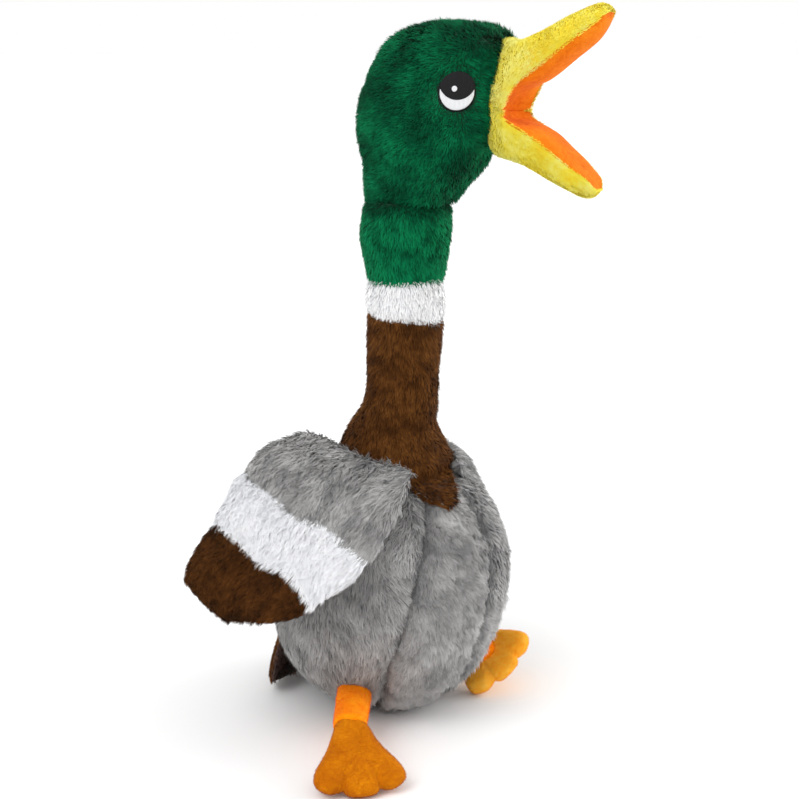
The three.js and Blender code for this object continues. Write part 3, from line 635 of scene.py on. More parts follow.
def bodyPiles():
    v = bodyCoat
    p, n = readPoints(bodySkin)
    seam, inside = gussetSeams(p - bodyLean(p[:, 2]))
    x = p[:, 0]
    swirl = swirls(p, 40, 11) * (1, 1, 0.5) + 0.45 * swirls(p, 13, 14)
    comb = tangents(n, np.array([0, 0, -1.0]) + swirl * v["swirl"])
    grown = step(*v["bareSeam"], seam) * step(*v["bareFloor"], p[:, 2])
    hole = (np.hypot(p[:, 0], p[:, 1] + v["holeForward"]) < v["hole"]) & (p[:, 2] > v["holeAbove"])
    covered = p[:, 2] > bibEdge(np.arctan2(p[:, 1], p[:, 0])) + 1
    grown = grown * ~hole * ~covered
    lengthen = v["shortest"] + (1 - v["shortest"]) * step(0, v["shortReach"], seam)
    # painted shade, darker down in the seams
    shade = lumps(p, 45, 7) * 0.15 - v["seamShade"] * np.exp(-(seam / v["seamShadeWidth"]) ** 2)
    panels = (("bellyPile", inside > 0), ("sideRightPile", (inside <= 0) & (x < 0)),
              ("sideLeftPile", (inside <= 0) & (x >= 0)))
    for seed, (name, panel) in enumerate(panels, 1):
        hair = growPile(name, bodySkin, "grey", longPile, comb, grown * panel, lengthen, shade, seed)
        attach(hair, "body")


bodyPiles()
print("stage: body made")


# Neck: a tube in three colours

neckValues = dict(forward=15, inset=2.2, sides=64, seamDip=1.6, tilt=3.4, tiltAt=267, tiltReach=9,
                  tiltWay=(0.809, 0.588), tiltSpan=24, whiteLift=0.3, greenLift=0.36, crease=(329, 341),
                  creaseShade=0.8)
# height, radius, and share of the shift forward
neckShape = [(158, 44, 0.2), (190, 30, 0.1), (206, 25.6, 0.55), (222, 24, 0.8), (258, 24.2, 1),
             (275, 25.7, 1), (289, 25.2, 1), (315, 28.8, 1), (334, 28.6, 1.1), (343, 24.5, 1.16),
             (351, 23, 1.22)]
neckPile = dict(longPile, length=4.8, width=0.48, lay=0.8, clump=1.2, clumpSize=2.6, toneSize=8)
collarPile = dict(neckPile, clump=0.6, stray=0.1, toneSpread=0.4, soft=0.96)


def neckAt(z):  # radius and how far forward the axis lies
    heights, radii, shares = smoothRows(neckShape, 200).T
    return np.interp(z, heights, radii), -neckValues["forward"] * np.interp(z, heights, shares)


def neckRings(low, high, steps, bib=False):
    v = neckValues
    turn = 2 * np.pi * (np.arange(v["sides"]) + 0.5) / v["sides"]
    rings = []
    if bib:  # down over the body's shoulders to the edge of the brown
        top, room = bibValues["top"], bibValues["room"]
        for t in np.linspace(0, 1, bibValues["rings"]):
            z = bibEdge(turn) + (top - bibEdge(turn)) * t
            a, d, back = bodySize(np.clip(z / bodyValues["height"], 0, 0.965))
            r, y = neckAt(np.full_like(z, top))
            wide, deep = (a + room) * (1 - t) + r * t, (d + room) * (1 - t) + r * t
            middle = back * (1 - t) + y * t
            rings.append(np.stack([np.cos(turn) * wide, np.sin(turn) * deep + middle, z], 1))
        low = 175
    for z in np.linspace(low, high, steps):
        r, y = neckAt(z)
        end = min(abs(z - low) if not bib else 99, abs(z - high))
        rings.append(ringAround(0, y, z, *[r - v["inset"] + dip(end, v["seamDip"], 3)] * 2, v["sides"]))
    return rings


def liftedOff(points, thing, room):  # moved out until they clear a skin
    tree = surfaceUnder(thing)
    out = points.copy()
    for i, p in enumerate(points):
        hit, normal, *_ = tree.find_nearest(Vector(p))
        hit, normal = np.array(hit), np.array(normal)
        if (p - hit) @ normal < room[i]:
            out[i] = hit + normal * room[i]
    return out


def makeNeck(name, kind, low, high, steps, nodes, count, seed, bib=False):
    points, faces = loftPoints(neckRings(low, high, steps, bib))
    n = normalsOf(points, faces)
    points = points + n * (lumps(points, 26, seed) * 1.2 + lumps(points, 11, seed + 1) * 0.5)[:, None]
    if bib:
        v = bibValues
        below = points[:, 2] < v["lifted"]
        edge = points[:, 2] - bibEdge(np.arctan2(points[:, 1], points[:, 0]))
        room = v["least"] + v["more"] * step(0, v["moreBy"], edge[below])
        points[below] = liftedOff(points[below], bodySkin, room)
    level = points[:, 2].copy()
    v = neckValues
    right, ahead = v["tiltWay"]
    sideways = (points[:, 0] * right - (points[:, 1] + v["forward"]) * ahead) / v["tiltSpan"]
    points[:, 2] -= v["tilt"] * sideways * np.exp(-((level - v["tiltAt"]) / v["tiltReach"]) ** 2)
    skin = meshObject(name + "Plush", points, faces, [backing[kind]])
    p, n = readPoints(skin)
    swirl = swirls(p, 34, seed + 2, flat=True)
    flare = step(*bibValues["flare"], p[:, 2])[:, None] * bib
    outward = np.stack([p[:, 0], p[:, 1], 0 * p[:, 0]], 1) / 30 * flare
    comb = tangents(n, np.array([0, 0, -1.0]) + swirl * 0.7 + outward)
    side = step(-0.7, 0, 1 - np.abs(n[:, 2]) - 0.4)
    inner = (level > high - 1) | ((level < low + 0.5) & (not bib))
    shade = lumps(p, 40, seed + 4) * (0.3 if kind == "green" else 0.15)
    if kind == "green":  # paler low down, and painted shade in the crease under the head
        shade = shade + v["greenLift"] - v["creaseShade"] * step(*v["crease"], p[:, 2])
    if kind == "white":
        shade = shade + v["whiteLift"]
    values = dict(collarPile if kind == "white" else neckPile, count=count)
    hair = growPile(name + "Pile", skin, kind, values, comb, side * ~inner, 1, shade, seed)
    for piece in (skin, hair):
        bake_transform(piece)
    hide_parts(*nodes)


makeNeck("neckBrown", "brown", 158, 268, 52,
         ["neck_base", "neck_base_stuffing", "neck_brown", "neck_lower_stuffing"],
         42000, 31, bib=True)
makeNeck("collarWhite", "white", 265, 291, 12, ["collar_white"],
         10000, 41)
makeNeck("neckGreen", "green", 288, 341, 24, ["neck_green", "neck_upper_stuffing"],
         20000, 51)
print("stage: neck made")


# Head: two cheeks sewn along the crown and the chin

headValues = dict(yaw=24, low=337, height=114, length=96, width=78, forward=20, squareness=0.8, inset=2.4,
                  sides=88, steps=60, swell=3, pinWidth=4, pinLow=(350, 342), pinFront=(58, 64),
                  seamDepth=0.9, seamWidth=2.4, chin=(392, 366), chinFrom=(22, 58), chinBack=11,
                  brow=(48, 62), browForward=2.6)
# share of the height, share of the width and length, and share of the shift forward
headShape = [(0, 0.6, 0.2), (0.08, 0.73, 0.46), (0.22, 0.92, 0.97), (0.4, 1, 1), (0.58, 1, 1.1),
             (0.74, 0.96, 1.35), (0.88, 0.82, 1.55), (0.96, 0.58, 1.65), (1, 0.24, 1.65)]
headPile = dict(longPile, count=60000, length=4.4, width=0.5, lay=0.6, rise=0.9, clump=1.5, clumpSize=3.6,
                toneSize=18)
yaw = math.radians(headValues["yaw"])
faceWay = np.array([math.sin(yaw), -math.cos(yaw), 0])
faceSide = np.array([math.cos(yaw), math.sin(yaw), 0])


def headPoint(forward, side, z):
    return np.array([0, -neckValues["forward"], z]) + faceWay * forward + faceSide * side


def faceCoordinates(points):  # how far forward and to the side each point lies
    flat = points - np.array([0, -neckValues["forward"], 0])
    return flat @ faceWay, flat @ faceSide


def makeHead():
    v = headValues
    rings = []
    for h, r, forward in smoothRows(headShape, v["steps"]):
        ring = ringAround(0, 0, 0, v["width"] / 2 * r, v["length"] / 2 * r, v["sides"], v["squareness"])
        middle = headPoint(v["forward"] * forward, 0, v["low"] + v["height"] * h)
        rings.append(middle + ring[:, :1] * faceSide - ring[:, 1:2] * faceWay)
    points, faces = loftPoints(rings)
    start = points - normalsOf(points, faces) * (v["inset"] + 1)
    forward, side = faceCoordinates(start)
    sewn = np.exp(-(side / v["pinWidth"]) ** 2)
    pins = sewn + step(*v["pinLow"], start[:, 2]) + step(*v["pinFront"], forward)
    points = puffed(start, faces, pins, v["swell"])
    skin = refined("headPlush", points, faces, [backing["green"]])
    p, n = readPoints(skin)
    forward, side = faceCoordinates(p)
    seam = dip(side, v["seamDepth"], v["seamWidth"])
    p = p + n * (seam + lumps(p, 28, 61) * 1.2 + lumps(p, 11, 62) * 0.5)[:, None]
    chin = step(*v["chin"], p[:, 2])
    brow = v["browForward"] * step(*v["brow"], forward) * (1 - chin)
    p = p + faceWay * (brow - v["chinBack"] * step(*v["chinFrom"], forward) * chin)[:, None]
    writePoints(skin, p)
    return skin


headSkin = makeHead()
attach(headSkin, "head")
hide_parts("head_cheek_right", "head_cheek_left", "head_stuffing_right", "head_stuffing_left")

eyeValues = dict(radius=11.3, outline=10.6, pupil=11.2, glint=2.1, z=402.8, forward=38.6, turn=34, tilt=12,
                 rise=5.6)


def eyeFrame(side):  # middle, and the directions out of, up and along the eye
    v = eyeValues
    turn = math.radians(v["turn"])
    lift = np.array([0, 0, math.sin(math.radians(v["tilt"]))])
    out = faceSide * side * math.cos(turn) + faceWay * math.sin(turn) + lift
    out = unit(out)
    up = unit(np.array([0, 0, 1.0]) - out * out[2])
    along = np.cross(up, out) * side  # towards the bill
    return headPoint(v["forward"], side * 10, v["z"]), out, up, along


def eyeReach(points, side):  # distance of each point from the eye's axis, on the eye's side of the head
    middle, out, *_ = eyeFrame(side)
    flat = points - middle
    away = flat @ out
    return np.where(away > 0, np.linalg.norm(flat - away[:, None] * out, axis=1), 1e3)


headCoat = dict(front=(50, 60), crown=(436, 420), onward=2.2, backward=0.7, down=0.55, swirl=0.9, low=337.5,
                mouth=(61, 64), mouthAt=403, mouthWide=18, mouthHigh=32, bareEye=(10.5, 12.5),
                shortest=0.45, shortEye=(11, 20), seamShort=0.3, seamWidth=5)


def headPiles():
    v = headCoat
    p, n = readPoints(headSkin)
    forward, side = faceCoordinates(p)
    near = np.minimum(eyeReach(p, -1), eyeReach(p, 1))
    swirl = swirls(p, 30, 71)
    front = step(*v["front"], forward) * step(*v["crown"], p[:, 2])
    onward = front[:, None] * v["onward"] - v["backward"]
    comb = tangents(n, faceWay * onward + np.array([0, 0, -v["down"]]) + swirl * v["swirl"])
    opening = (side / v["mouthWide"]) ** 2 + ((p[:, 2] - v["mouthAt"]) / v["mouthHigh"]) ** 2 < 1
    grown = step(*v["bareEye"], near) * (p[:, 2] > v["low"]) * (1 - step(*v["mouth"], forward) * opening)
    lengthen = v["shortest"] + (1 - v["shortest"]) * step(*v["shortEye"], near)
    lengthen = lengthen * (1 - v["seamShort"] * np.exp(-(side / v["seamWidth"]) ** 2))
    shade = lumps(p, 34, 74) * 0.2
    hair = growPile("headPile", headSkin, "green", headPile, comb, grown, lengthen, shade, 7)
    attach(hair, "head")


headPiles()
print("stage: head made")


# Eyes: satin-stitch patches laid on the head

def threadMaterial(name, dark, light, turns, rough=0.34):
    made, b = newMaterial(name)
    place = b.ownPlace()
    turned = b.node("ShaderNodeMapping", {}, {"Vector": place, "Rotation": turns})
    rows = b.node("ShaderNodeTexWave", {"wave_type": "BANDS", "bands_direction": "X"},
                  {"Vector": turned, "Scale": 420, "Distortion": 1.2, "Detail": 1}, "Fac")
    fleck = b.noise(place, 900, 2)
    base = b.mixed(rows * 0.7 + fleck * 0.3, rgba(dark), rgba(light))
    bumped = b.bump(rows + fleck * 0.3, 0.7, 0.0004)
    finishMaterial(b, base, rough + 0.2 * fleck, bumped, specular=0.3)
    return made


threadBlack = threadMaterial("blackThread", colour(2, 2, 4), colour(15, 15, 20), (0, 0, 0.9), 0.52)
threadWhite = threadMaterial("whiteThread", colour(206, 208, 214), colour(252, 252, 252), (0, 0, 0.9))


patchValues = dict(tuck=-1.6, dome=0.5, reach=60)


def patch(name, tree, eye, shift, radius, high, edge, material, within=99, rings=10, sides=56):
    middle, out, up, along = eye
    v = patchValues
    # radius, and how far off the head, or None where the edge rounds over
    circles = [(radius, v["tuck"])]
    circles += [(radius * (1 - edge * k), None) for k in (0, 0.5, 1)]
    circles += [(radius * (1 - edge) * (1 - k / rings), None) for k in range(1, rings)]
    loops = []
    for r, drop in circles:
        loop = []
        for s in range(sides):
            turn = 2 * math.pi * s / sides
            across, rise = shift[1] + r * math.cos(turn), shift[0] + r * math.sin(turn)
            kept = min(1, within / max(math.hypot(across, rise), 1e-6))
            at = middle + along * across * kept + up * rise * kept
            hit, *_ = tree.ray_cast(Vector(at + out * v["reach"]), Vector(-out), 2 * v["reach"])
            share = np.clip((radius - r) / (radius * edge), 0, 1)
            rounded = high * math.sin(share * math.pi / 2) ** 0.7 + v["dome"] * (1 - (r / radius) ** 2)
            loop.append(np.array(hit) + out * (rounded if drop is None else drop))
        loops.append(loop)
    points, faces = loftPoints(loops)
    made = meshObject(name, points, faces, [material])
    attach(made, "head")
    return made


def makeEyes():
    v = eyeValues
    patches = (  # shift up and along, radius, height, share of the radius that rounds over, thread
        ("Rim", (0, 0), v["radius"], 1.9, 0.1, threadBlack),
        ("White", (-0.2, 0), v["outline"], 2.3, 0.08, threadWhite),
        ("Pupil", (v["rise"], -0.3), v["pupil"], 3.0, 0.1, threadBlack, v["radius"] - 0.3),
        ("Glint", (1.5, 1.7), v["glint"], 3.6, 0.3, threadWhite, v["radius"], 5, 32),
    )
    tree = surfaceUnder(headSkin)
    for label, side in (("Right", -1), ("Left", 1)):
        for part, *shape in patches:
            made = patch("eye" + part + label, tree, eyeFrame(side), *shape)
            if part != "Rim":
                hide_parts(f"eye_{part.lower()}_{label.lower()}")


makeEyes()
print("stage: eyes made")


# Bill: two padded halves sewn to the head and to each other at the corners of the mouth

billValues = dict(forward=66, mouth=402, width=43, knuckle=16.3, thick=14.8, steps=80, dome=24, flat=18,
                  hingeBow=5, corner=76.4, cornerRows=8, hinge=(77, 95))
# share of the length, width and thickness
billShape = [(0.38, 0.85, 0.63), (0.52, 0.82, 0.54), (0.66, 0.76, 0.47), (0.8, 0.65, 0.39),
             (0.91, 0.5, 0.31), (0.97, 0.36, 0.24), (1, 0.2, 0.15)]
# how far the linings stand into the mouth, at the root and more to the tip
billFill = {"upper": (0.9, 0), "lower": (-0.5, 4.4)}
# how far the linings' middles swell, and the share of the length where that fades
billCrown = {"upper": (6.5, 0.85), "lower": (4.5, 0.45)}
# forward and height of the mouth's edge, then of the outer ridge, half the width, and the lining's swell
billRoots = {
    "upper": [
        (60, 0, 60, 31, 13, 0),
        (66, -1, 65.5, 33.5, 16.5, 0),
        (71.5, -3, 70, 35.6, 19.2, 0),
        (76.2, -6, 74.5, 35.2, 20.4, 0),
        (78.7, -1, 76.4, 34.6, 20.3, 0),
        (83, 7.6, 78.6, 34.6, 19.8, 1.2),
        (87.3, 12.6, 81, 35, 19.2, 3.2),
        (91.6, 15.8, 83.8, 35.8, 18.8, 5),
    ],
    "lower": [
        (60, 0, 60, 27, 13, 0),
        (66, 0, 65.5, 31, 16.5, 0),
        (71.5, 2, 70.3, 32.6, 19.2, 0),
        (76.2, 5.5, 74.8, 33.4, 20.4, 0),
        (78.7, 9.5, 76.8, 34, 20.3, 0),
        (83, 12.6, 79, 34.7, 19.8, 1),
        (87.5, 15.4, 81.2, 35.4, 19.2, 2.6),
        (92, 18.2, 83, 36, 18.8, 4),
    ],
}
billPile = dict(shortPile, count=32000, length=2.4, width=0.36, lay=0.7, rise=0.8, clump=0.35, stray=0.12,
                clumpSize=3.4, soft=0.82)


def billRings(part, length, angle):
    v = billValues
    dome, flat = v["dome"], v["flat"]
    c, s = math.cos(math.radians(angle)), math.sin(math.radians(angle))
    fill, more = billFill[part]
    crownHigh, crownEnd = billCrown[part]
    rows = list(billRoots[part])
    for t, w, h in billShape:
        run, top = t * length, 2 * v["thick"] * h - v["thick"]
        base = v["thick"] + (fill + more * t) * (1 - 0.75 * step(0.9, 1, t))
        forward, high = v["forward"] + c * run, v["knuckle"] + s * run
        rows.append((forward + s * base, high - c * base, forward - s * top, high + c * top,
                     v["width"] / 2 * w, crownHigh * step(1, crownEnd, t)))
    side = 1 if part == "upper" else -1
    rings = []
    for edgeForward, edgeHigh, topForward, topHigh, half, crown in smoothRows(rows, v["steps"]):
        bow = v["hingeBow"] * step(92, 77, edgeForward)
        ring = []
        for k in range(dome + 1):
            t = math.pi * k / dome
            share = math.sin(t) ** (0.72 + 0.4 * step(79, 68, edgeForward))
            forward = edgeForward + (topForward - edgeForward) * share
            high = edgeHigh + (topHigh - edgeHigh) * share
            ring.append(headPoint(forward, math.cos(t) * half * side, v["mouth"] + side * high))
        for k in range(1, flat):  # the lining, crowned between its edges
            t = 2 * k / flat - 1
            swell = crown * (1 - t * t) ** 0.6
            forward = edgeForward - bow * (1 - t * t) + s * swell
            ring.append(headPoint(forward, t * half * side, v["mouth"] + side * (edgeHigh - c * swell)))
        rings.append(ring)
    return rings


def makeBillHalf(part, length, angle, seed, *roots):
    dome = billValues["dome"]
    rings = billRings(part, length, angle)
    points, faces = loftPoints(rings)
    starts = faceCoordinates(np.array([ring[0] for ring in rings]))[0]
    openRow = int(np.argmax(starts > billValues["corner"]))
    sides = len(rings[0])
    lined = []
    for f in faces:
        columns = np.array([i % sides for i in f if i < len(rings) * sides])
        within = columns.min() > dome + 1 and columns.max() < sides - 1
        opened = min(f) // sides >= openRow - (billValues["cornerRows"] if within else 0)
        lined.append(int(columns.max() > dome and len(f) == 4 and opened))
    body = part + "_bill"
    skin = refined(part + "BillPlush", points, faces, [backing["yellow"], velour["orange"]], lined)
    p, n = readPoints(skin)
    zones = clothZones(skin, 2)
    seam = zones.all(axis=1)
    forward, across = faceCoordinates(p)
    p = p + n * (lumps(p, 16, seed) * 0.55 - 0.5 * seam)[:, None]
    writePoints(skin, p)
    p, n = readPoints(skin)
    a = math.radians(angle if part == "upper" else -angle)
    way = faceWay * math.cos(a) + np.array([0, 0, math.sin(a)])
    swirl = swirls(p, 20, seed + 1)
    comb = tangents(n, np.tile(way, (len(p), 1)) + swirl * 0.7)
    throat = (np.abs(p[:, 2] - billValues["mouth"] + 6) < 7) & (forward < 77.5) & (np.abs(across) < 18)
    shown = (forward > 64) & ~throat
    lengthen = 0.75 + 0.5 * step(100, 72, forward)
    # random tone, and painted light: the pile is lighter towards the bill's root, where its dense fibres
    # shade each other
    shade = lumps(p, 15, seed + 4) * 0.5 + 0.25 * step(92, 68, forward)
    grown = zones[:, 0] & shown
    hair = growPile(part + "BillCoverPile", skin, "yellow", billPile, comb, grown, lengthen, shade, seed)
    for piece in (skin, hair):
        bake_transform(piece)
    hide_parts(body + "_cover", body + "_lining", body + "_stuffing", *roots)


makeBillHalf("upper", 77, 37.5, 101, "bill_root_upper")
makeBillHalf("lower", 71.5, 39.5, 111, "bill_root_lower", "mouth_throat")
print("stage: bill made")


# Wings and tail: limp pads through sections across a spine

wingValues = dict(chord=129, thick=10, steps=60, shoulder=40, shoulderHeight=170, lifts=(60, 30, 15, 0),
                  room=1.5, seams=(2, 3), rowLength=26, seamDepth=2, seamWidth=3.4, wander=0.05,
                  wanderLow=0.12, ripple=0.04, rearBack=0.34, rearShare=0.16, limp=(2.6, 3.6))
tailValues = dict(width=132, thick=9, bow=46, back=78, height=50, steps=30, lifts=(50, 25, 0), room=1.2)
# a point of the spine, the way across it, and shares of the chord and the thickness, from shoulder to tip
wingRows = {
    "right": [
        (-27, -2, 177.5, -0.1, 1, 0.06, 0.8, 0.6),
        (-50, -6, 166.5, -0.12, 1, 0.14, 0.95, 1.05),
        (-73, -7, 143.5, -0.13, 1, 0.26, 0.98, 1.2),
        (-99, -2, 119, -0.12, 1, 0.36, 0.78, 1),
        (-121, 4, 104, -0.12, 1, 0.4, 0.61, 0.9),
        (-137, 8, 96, -0.12, 1, 0.42, 0.34, 0.5),
    ],
    "left": [
        (24, 11, 178, 0.1, 1, 0.06, 0.76, 0.6),
        (45, 30, 168, 0, 1, 0.1, 0.81, 1),
        (63, 48, 145, -0.1, 1, 0.1, 0.85, 1.05),
        (78, 57, 110, -0.2, 1, 0.12, 0.8, 1),
        (82, 63, 84, -0.24, 1, 0.14, 0.62, 0.9),
        (82, 66, 68, -0.24, 1, 0.14, 0.34, 0.5),
    ],
}


def padRings(rows, chord, thickness, steps, side, half=24, bow=0):
    made = smoothRows(rows, steps)
    at, across = made[:, :3], made[:, 3:6] / np.linalg.norm(made[:, 3:6], axis=1)[:, None]
    rings = []
    for i, (wide, thick) in enumerate(made[:, 6:8]):
        along = at[min(i + 1, steps)] - at[max(i - 1, 0)]
        out = unit(np.cross(across[i], unit(along)) * -side)
        ring = []
        for s in range(2 * half):
            t = math.pi * s / half
            high = thickness / 2 * thick * math.copysign(abs(math.sin(t)) ** 0.6, math.sin(t))
            point = at[i] + across[i] * math.cos(t) * chord / 2 * wide + out * high
            point[1] -= bow * (point[0] / (tailValues["width"] / 2)) ** 2
            ring.append(point)
        rings.append(ring)
    return np.array(rings)


def turnedBy(points, pivot, axis, degrees):
    m = np.array(Matrix.Rotation(math.radians(degrees), 3, Vector(axis)))
    return (points - pivot) @ m.T + pivot


# kept out of the body, also while the pad turns
def pushedOut(points, room, pivot=None, axis=None, angles=(0,)):
    for degrees in angles:
        p = turnedBy(points, pivot, axis, degrees) if degrees else points.copy()
        a, d, back = bodySize(np.clip(p[:, 2] / bodyValues["height"], 0, 1))
        inside = p[:, 2] < bodyValues["height"] * 0.985
        x, y = p[:, 0] / (a + room), (p[:, 1] - back) / (d + room)
        q = np.maximum(np.hypot(x, y), 1e-3)
        grow = np.where(inside & (q < 1), 1 / q, 1)
        p[:, 0], p[:, 1] = p[:, 0] * grow, (p[:, 1] - back) * grow + back
        points = turnedBy(p, pivot, axis, -degrees) if degrees else p
    return points


wingPile = dict(longPile, length=6.6, width=0.52, lay=0.95, rise=0.5, stray=0.1)
barPile = dict(wingPile, clump=0.7, stray=0.1, width=0.42, toneSpread=0.4, soft=0.96)


def makeWing(label):
    side, rows = (-1 if label == "right" else 1), wingRows[label]
    v = wingValues
    steps = v["steps"]
    rings = padRings(rows, v["chord"], v["thick"], steps, side)
    sides = rings.shape[1]
    points, faces = loftPoints(rings)
    row = np.concatenate([np.repeat(np.arange(steps + 1), sides), [0, steps]]) / steps * 5
    turn = np.concatenate([np.tile(np.arange(sides), steps + 1), [0, 0]])
    upper = (turn <= sides // 2)
    n = normalsOf(points, faces)
    around = turn / sides * 2 * np.pi
    low = row > sum(v["seams"]) / 2
    wander = np.where(low, v["wanderLow"], v["wander"]) * np.sin(around * 3 + 1)
    wander = wander + v["ripple"] * np.sin(around * 7)
    rear = np.minimum(turn, sides - turn) / sides
    wander = wander - v["rearBack"] * step(v["rearShare"], 0, rear) * low
    first, last = v["seams"]
    seam = np.minimum(np.abs(row + wander - first), np.abs(row + wander - last)) * v["rowLength"]
    soft = step(*v["limp"], row)
    swell = lumps(points, 24, 121 + side) * (1.6 + 1.6 * soft) + lumps(points, 50, 122) * (2 + 3 * soft)
    points = points + n * (swell + dip(seam, v["seamDepth"], v["seamWidth"]) * upper)[:, None]
    pivot, axis = np.array([side * v["shoulder"], 0, v["shoulderHeight"]], float), (0, -side, 0)
    points = pushedOut(points, v["room"], pivot, axis, v["lifts"])
    points[:, 2] = np.maximum(points[:, 2], 2)
    zone = []  # 0 covert, 1 bar, 2 tip, 3 lining
    for f in faces:
        r, t = (row + wander)[list(f)].mean(), turn[list(f)]
        under = t.max() > sides // 2
        zone.append(2 if r > last else 3 if under else 0 if r < first else 1)
    coats = ["grey", "white", "brown", "grey"]
    skin = refined(f"wing{label.title()}Plush", points, faces, [backing[c] for c in coats], zone)
    p, n = readPoints(skin)
    zones = clothZones(skin, 4)
    spine = np.array(rows)[:, :3]
    tipward = unit(spine[-1] - spine[1])
    swirl = swirls(p, 30, 131)
    comb = tangents(n, tipward + np.array([0, -0.35, -0.35]) + swirl * 0.9)
    parts = (("Covert", "grey", 27000, 1.0), ("Bar", "white", 20000, 1.2), ("Tip", "brown", 24000, 0.62),
             ("Lining", "grey", 9000, 0.7))
    for k, (part, kind, count, lengthen) in enumerate(parts):
        values = dict(barPile if part == "Bar" else wingPile, count=count)
        shade = lumps(p, 40, 135) * 0.2 - 0.32 * (part == "Tip")
        hair = growPile(f"wing{label.title()}{part}Pile", skin, kind, values, comb, zones[:, k],
                        lengthen, shade, 20 + k + (side > 0) * 4)
        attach(hair, "wing_" + label)
    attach(skin, "wing_" + label)
    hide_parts(*[f"wing_{label}_{part}" for part in ("covert", "bar", "tip", "lining")])


makeWing("right")
makeWing("left")


def makeTail():
    v = tailValues
    y, z = v["back"], v["height"]
    rows = [
        (0, y + 1, z, 1, 0, 0, 0.5, 0.7),
        (0, y + 10, z * 0.68, 1, 0, 0, 0.82, 1),
        (0, y + 16, z * 0.34, 1, 0, 0, 1, 1),
        (0, y + 18, v["thick"] * 0.62, 1, 0, 0, 0.94, 0.6),
    ]
    rings = padRings(rows, v["width"] - 3, v["thick"] - 2, v["steps"], -1, bow=v["bow"])
    points, faces = loftPoints(rings)
    n = normalsOf(points, faces)
    points = points + n * (lumps(points, 20, 141) * 0.8)[:, None]
    points = pushedOut(points, v["room"], np.array([0, y, z], float), (1, 0, 0), v["lifts"])
    points[:, 2] = np.maximum(points[:, 2], 1.2)
    out = n[:, 1] + n[:, 0] * np.sign(points[:, 0]) > 0
    pick = [0 if out[list(f)].mean() > 0.5 else 1 for f in faces]
    skin = refined("tailPlush", points, faces, [backing["brown"], backing["dark"]], pick)
    p, n = readPoints(skin)
    zones = clothZones(skin, 2)
    comb = tangents(n, np.array([0, 0.1, -1.0]) + swirls(p, 20, 142, flat=True) * 0.7)
    cloths = (("Cover", "brown", 13000, 0.62, "brown_plush"), ("Lining", "dark", 7000, 0.4, "lining_cloth"))
    for k, (part, kind, count, lengthen, slot) in enumerate(cloths):
        values = dict(wingPile, count=count)
        hair = growPile("tail" + part + "Pile", skin, kind, values, comb, zones[:, k], lengthen, 0, 40 + k)
        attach(hair, "tail")
    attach(skin, "tail")
    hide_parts("tail_cover", "tail_lining")


makeTail()
print("stage: wings and tail made")


# Legs and feet: padded tubes and flat feet of three toes

footValues = dict(length=50, fork=0.235, width=58, thick=14, edge=5.5, legRadius=11, ankleRadius=7.6,
                  sides=96, legSides=36, toeDepth=1.3, toeWidth=1.2, toesFrom=(26, 34),
                  mostPitch=60, pitchStep=0.5, clearance=0.9)
legPlaces = {
    "right": dict(hip=(-54.2, -33.9, 27), ankle=(-83.6, -72.1, 27), turn=-25, roll=0, start=-0.5,
                  cloth="foot"),
    # the left foot takes the lighter copy of the velour, a painted light
    "left": dict(hip=(57, -32, 27), ankle=(65.5, 6, 28), turn=2, roll=-38, start=0.05, cloth="litFoot"),
}
# share of half the width and of the length, from the heel round the toes
footSide = [(-0.3, -0.06), (-0.58, 0.32), (-0.94, 0.68), (-0.98, 0.86), (-0.74, 0.98), (-0.46, 0.98),
            (-0.26, 1.05)]
footOutline = [(0, -0.16), *footSide, (0, 1.07), *[(-x, y) for x, y in footSide[::-1]]]
footPile = dict(shortPile, count=9000, length=0.9, width=0.22, lay=0.5, rise=0.9, clump=0.5, stray=0.4)
legPile = dict(footPile, count=4000)


def aroundLoop(rows, count):  # a closed smooth loop through a few points
    rows = np.array(rows, float)
    t = np.arange(count) * len(rows) / count
    i = np.floor(t).astype(int)
    f = (t - i)[:, None]
    return curve([rows[(i + k) % len(rows)] for k in (-1, 0, 1, 2)], f)


def footLocal():  # lying level with its ankle at the origin and its toes along -Y
    v = footValues
    loop = aroundLoop(footOutline, v["sides"])
    middle = np.array([0, -v["length"] * 0.55])
    rings = []
    for rise in (-84, -70, -52, -34, -16, 0, 16, 34, 52, 70, 84):
        a = math.radians(rise)
        flat = np.stack([loop[:, 0] * v["width"] / 2, -loop[:, 1] * v["length"]], 1) - middle
        reach = np.linalg.norm(flat, axis=1)
        flat = flat * ((reach - 1 - (v["edge"] + 3) * (1 - math.cos(a))) / reach)[:, None] + middle
        rings.append(np.column_stack([flat, np.full(len(flat), (v["thick"] / 2 - 0.8) * math.sin(a))]))
    low, high = rings[0], rings[-1]

    def shrunk(ring, k):
        return np.column_stack([(ring[:, :2] - middle) * k + middle, ring[:, 2] * (1.1 - 0.1 * k)])

    shares = (0.15, 0.4, 0.65, 0.85)
    rings = [shrunk(low, k) for k in shares] + rings + [shrunk(high, k) for k in shares[::-1]]
    return loftPoints(rings)


def setFoot(points, place, pitch):
    p = turnedBy(points, np.zeros(3), (0, 1, 0), place["roll"])
    p = turnedBy(p, np.zeros(3), (1, 0, 0), pitch)
    return turnedBy(p, np.zeros(3), (0, 0, 1), place["turn"]) + np.array(place["ankle"], float)


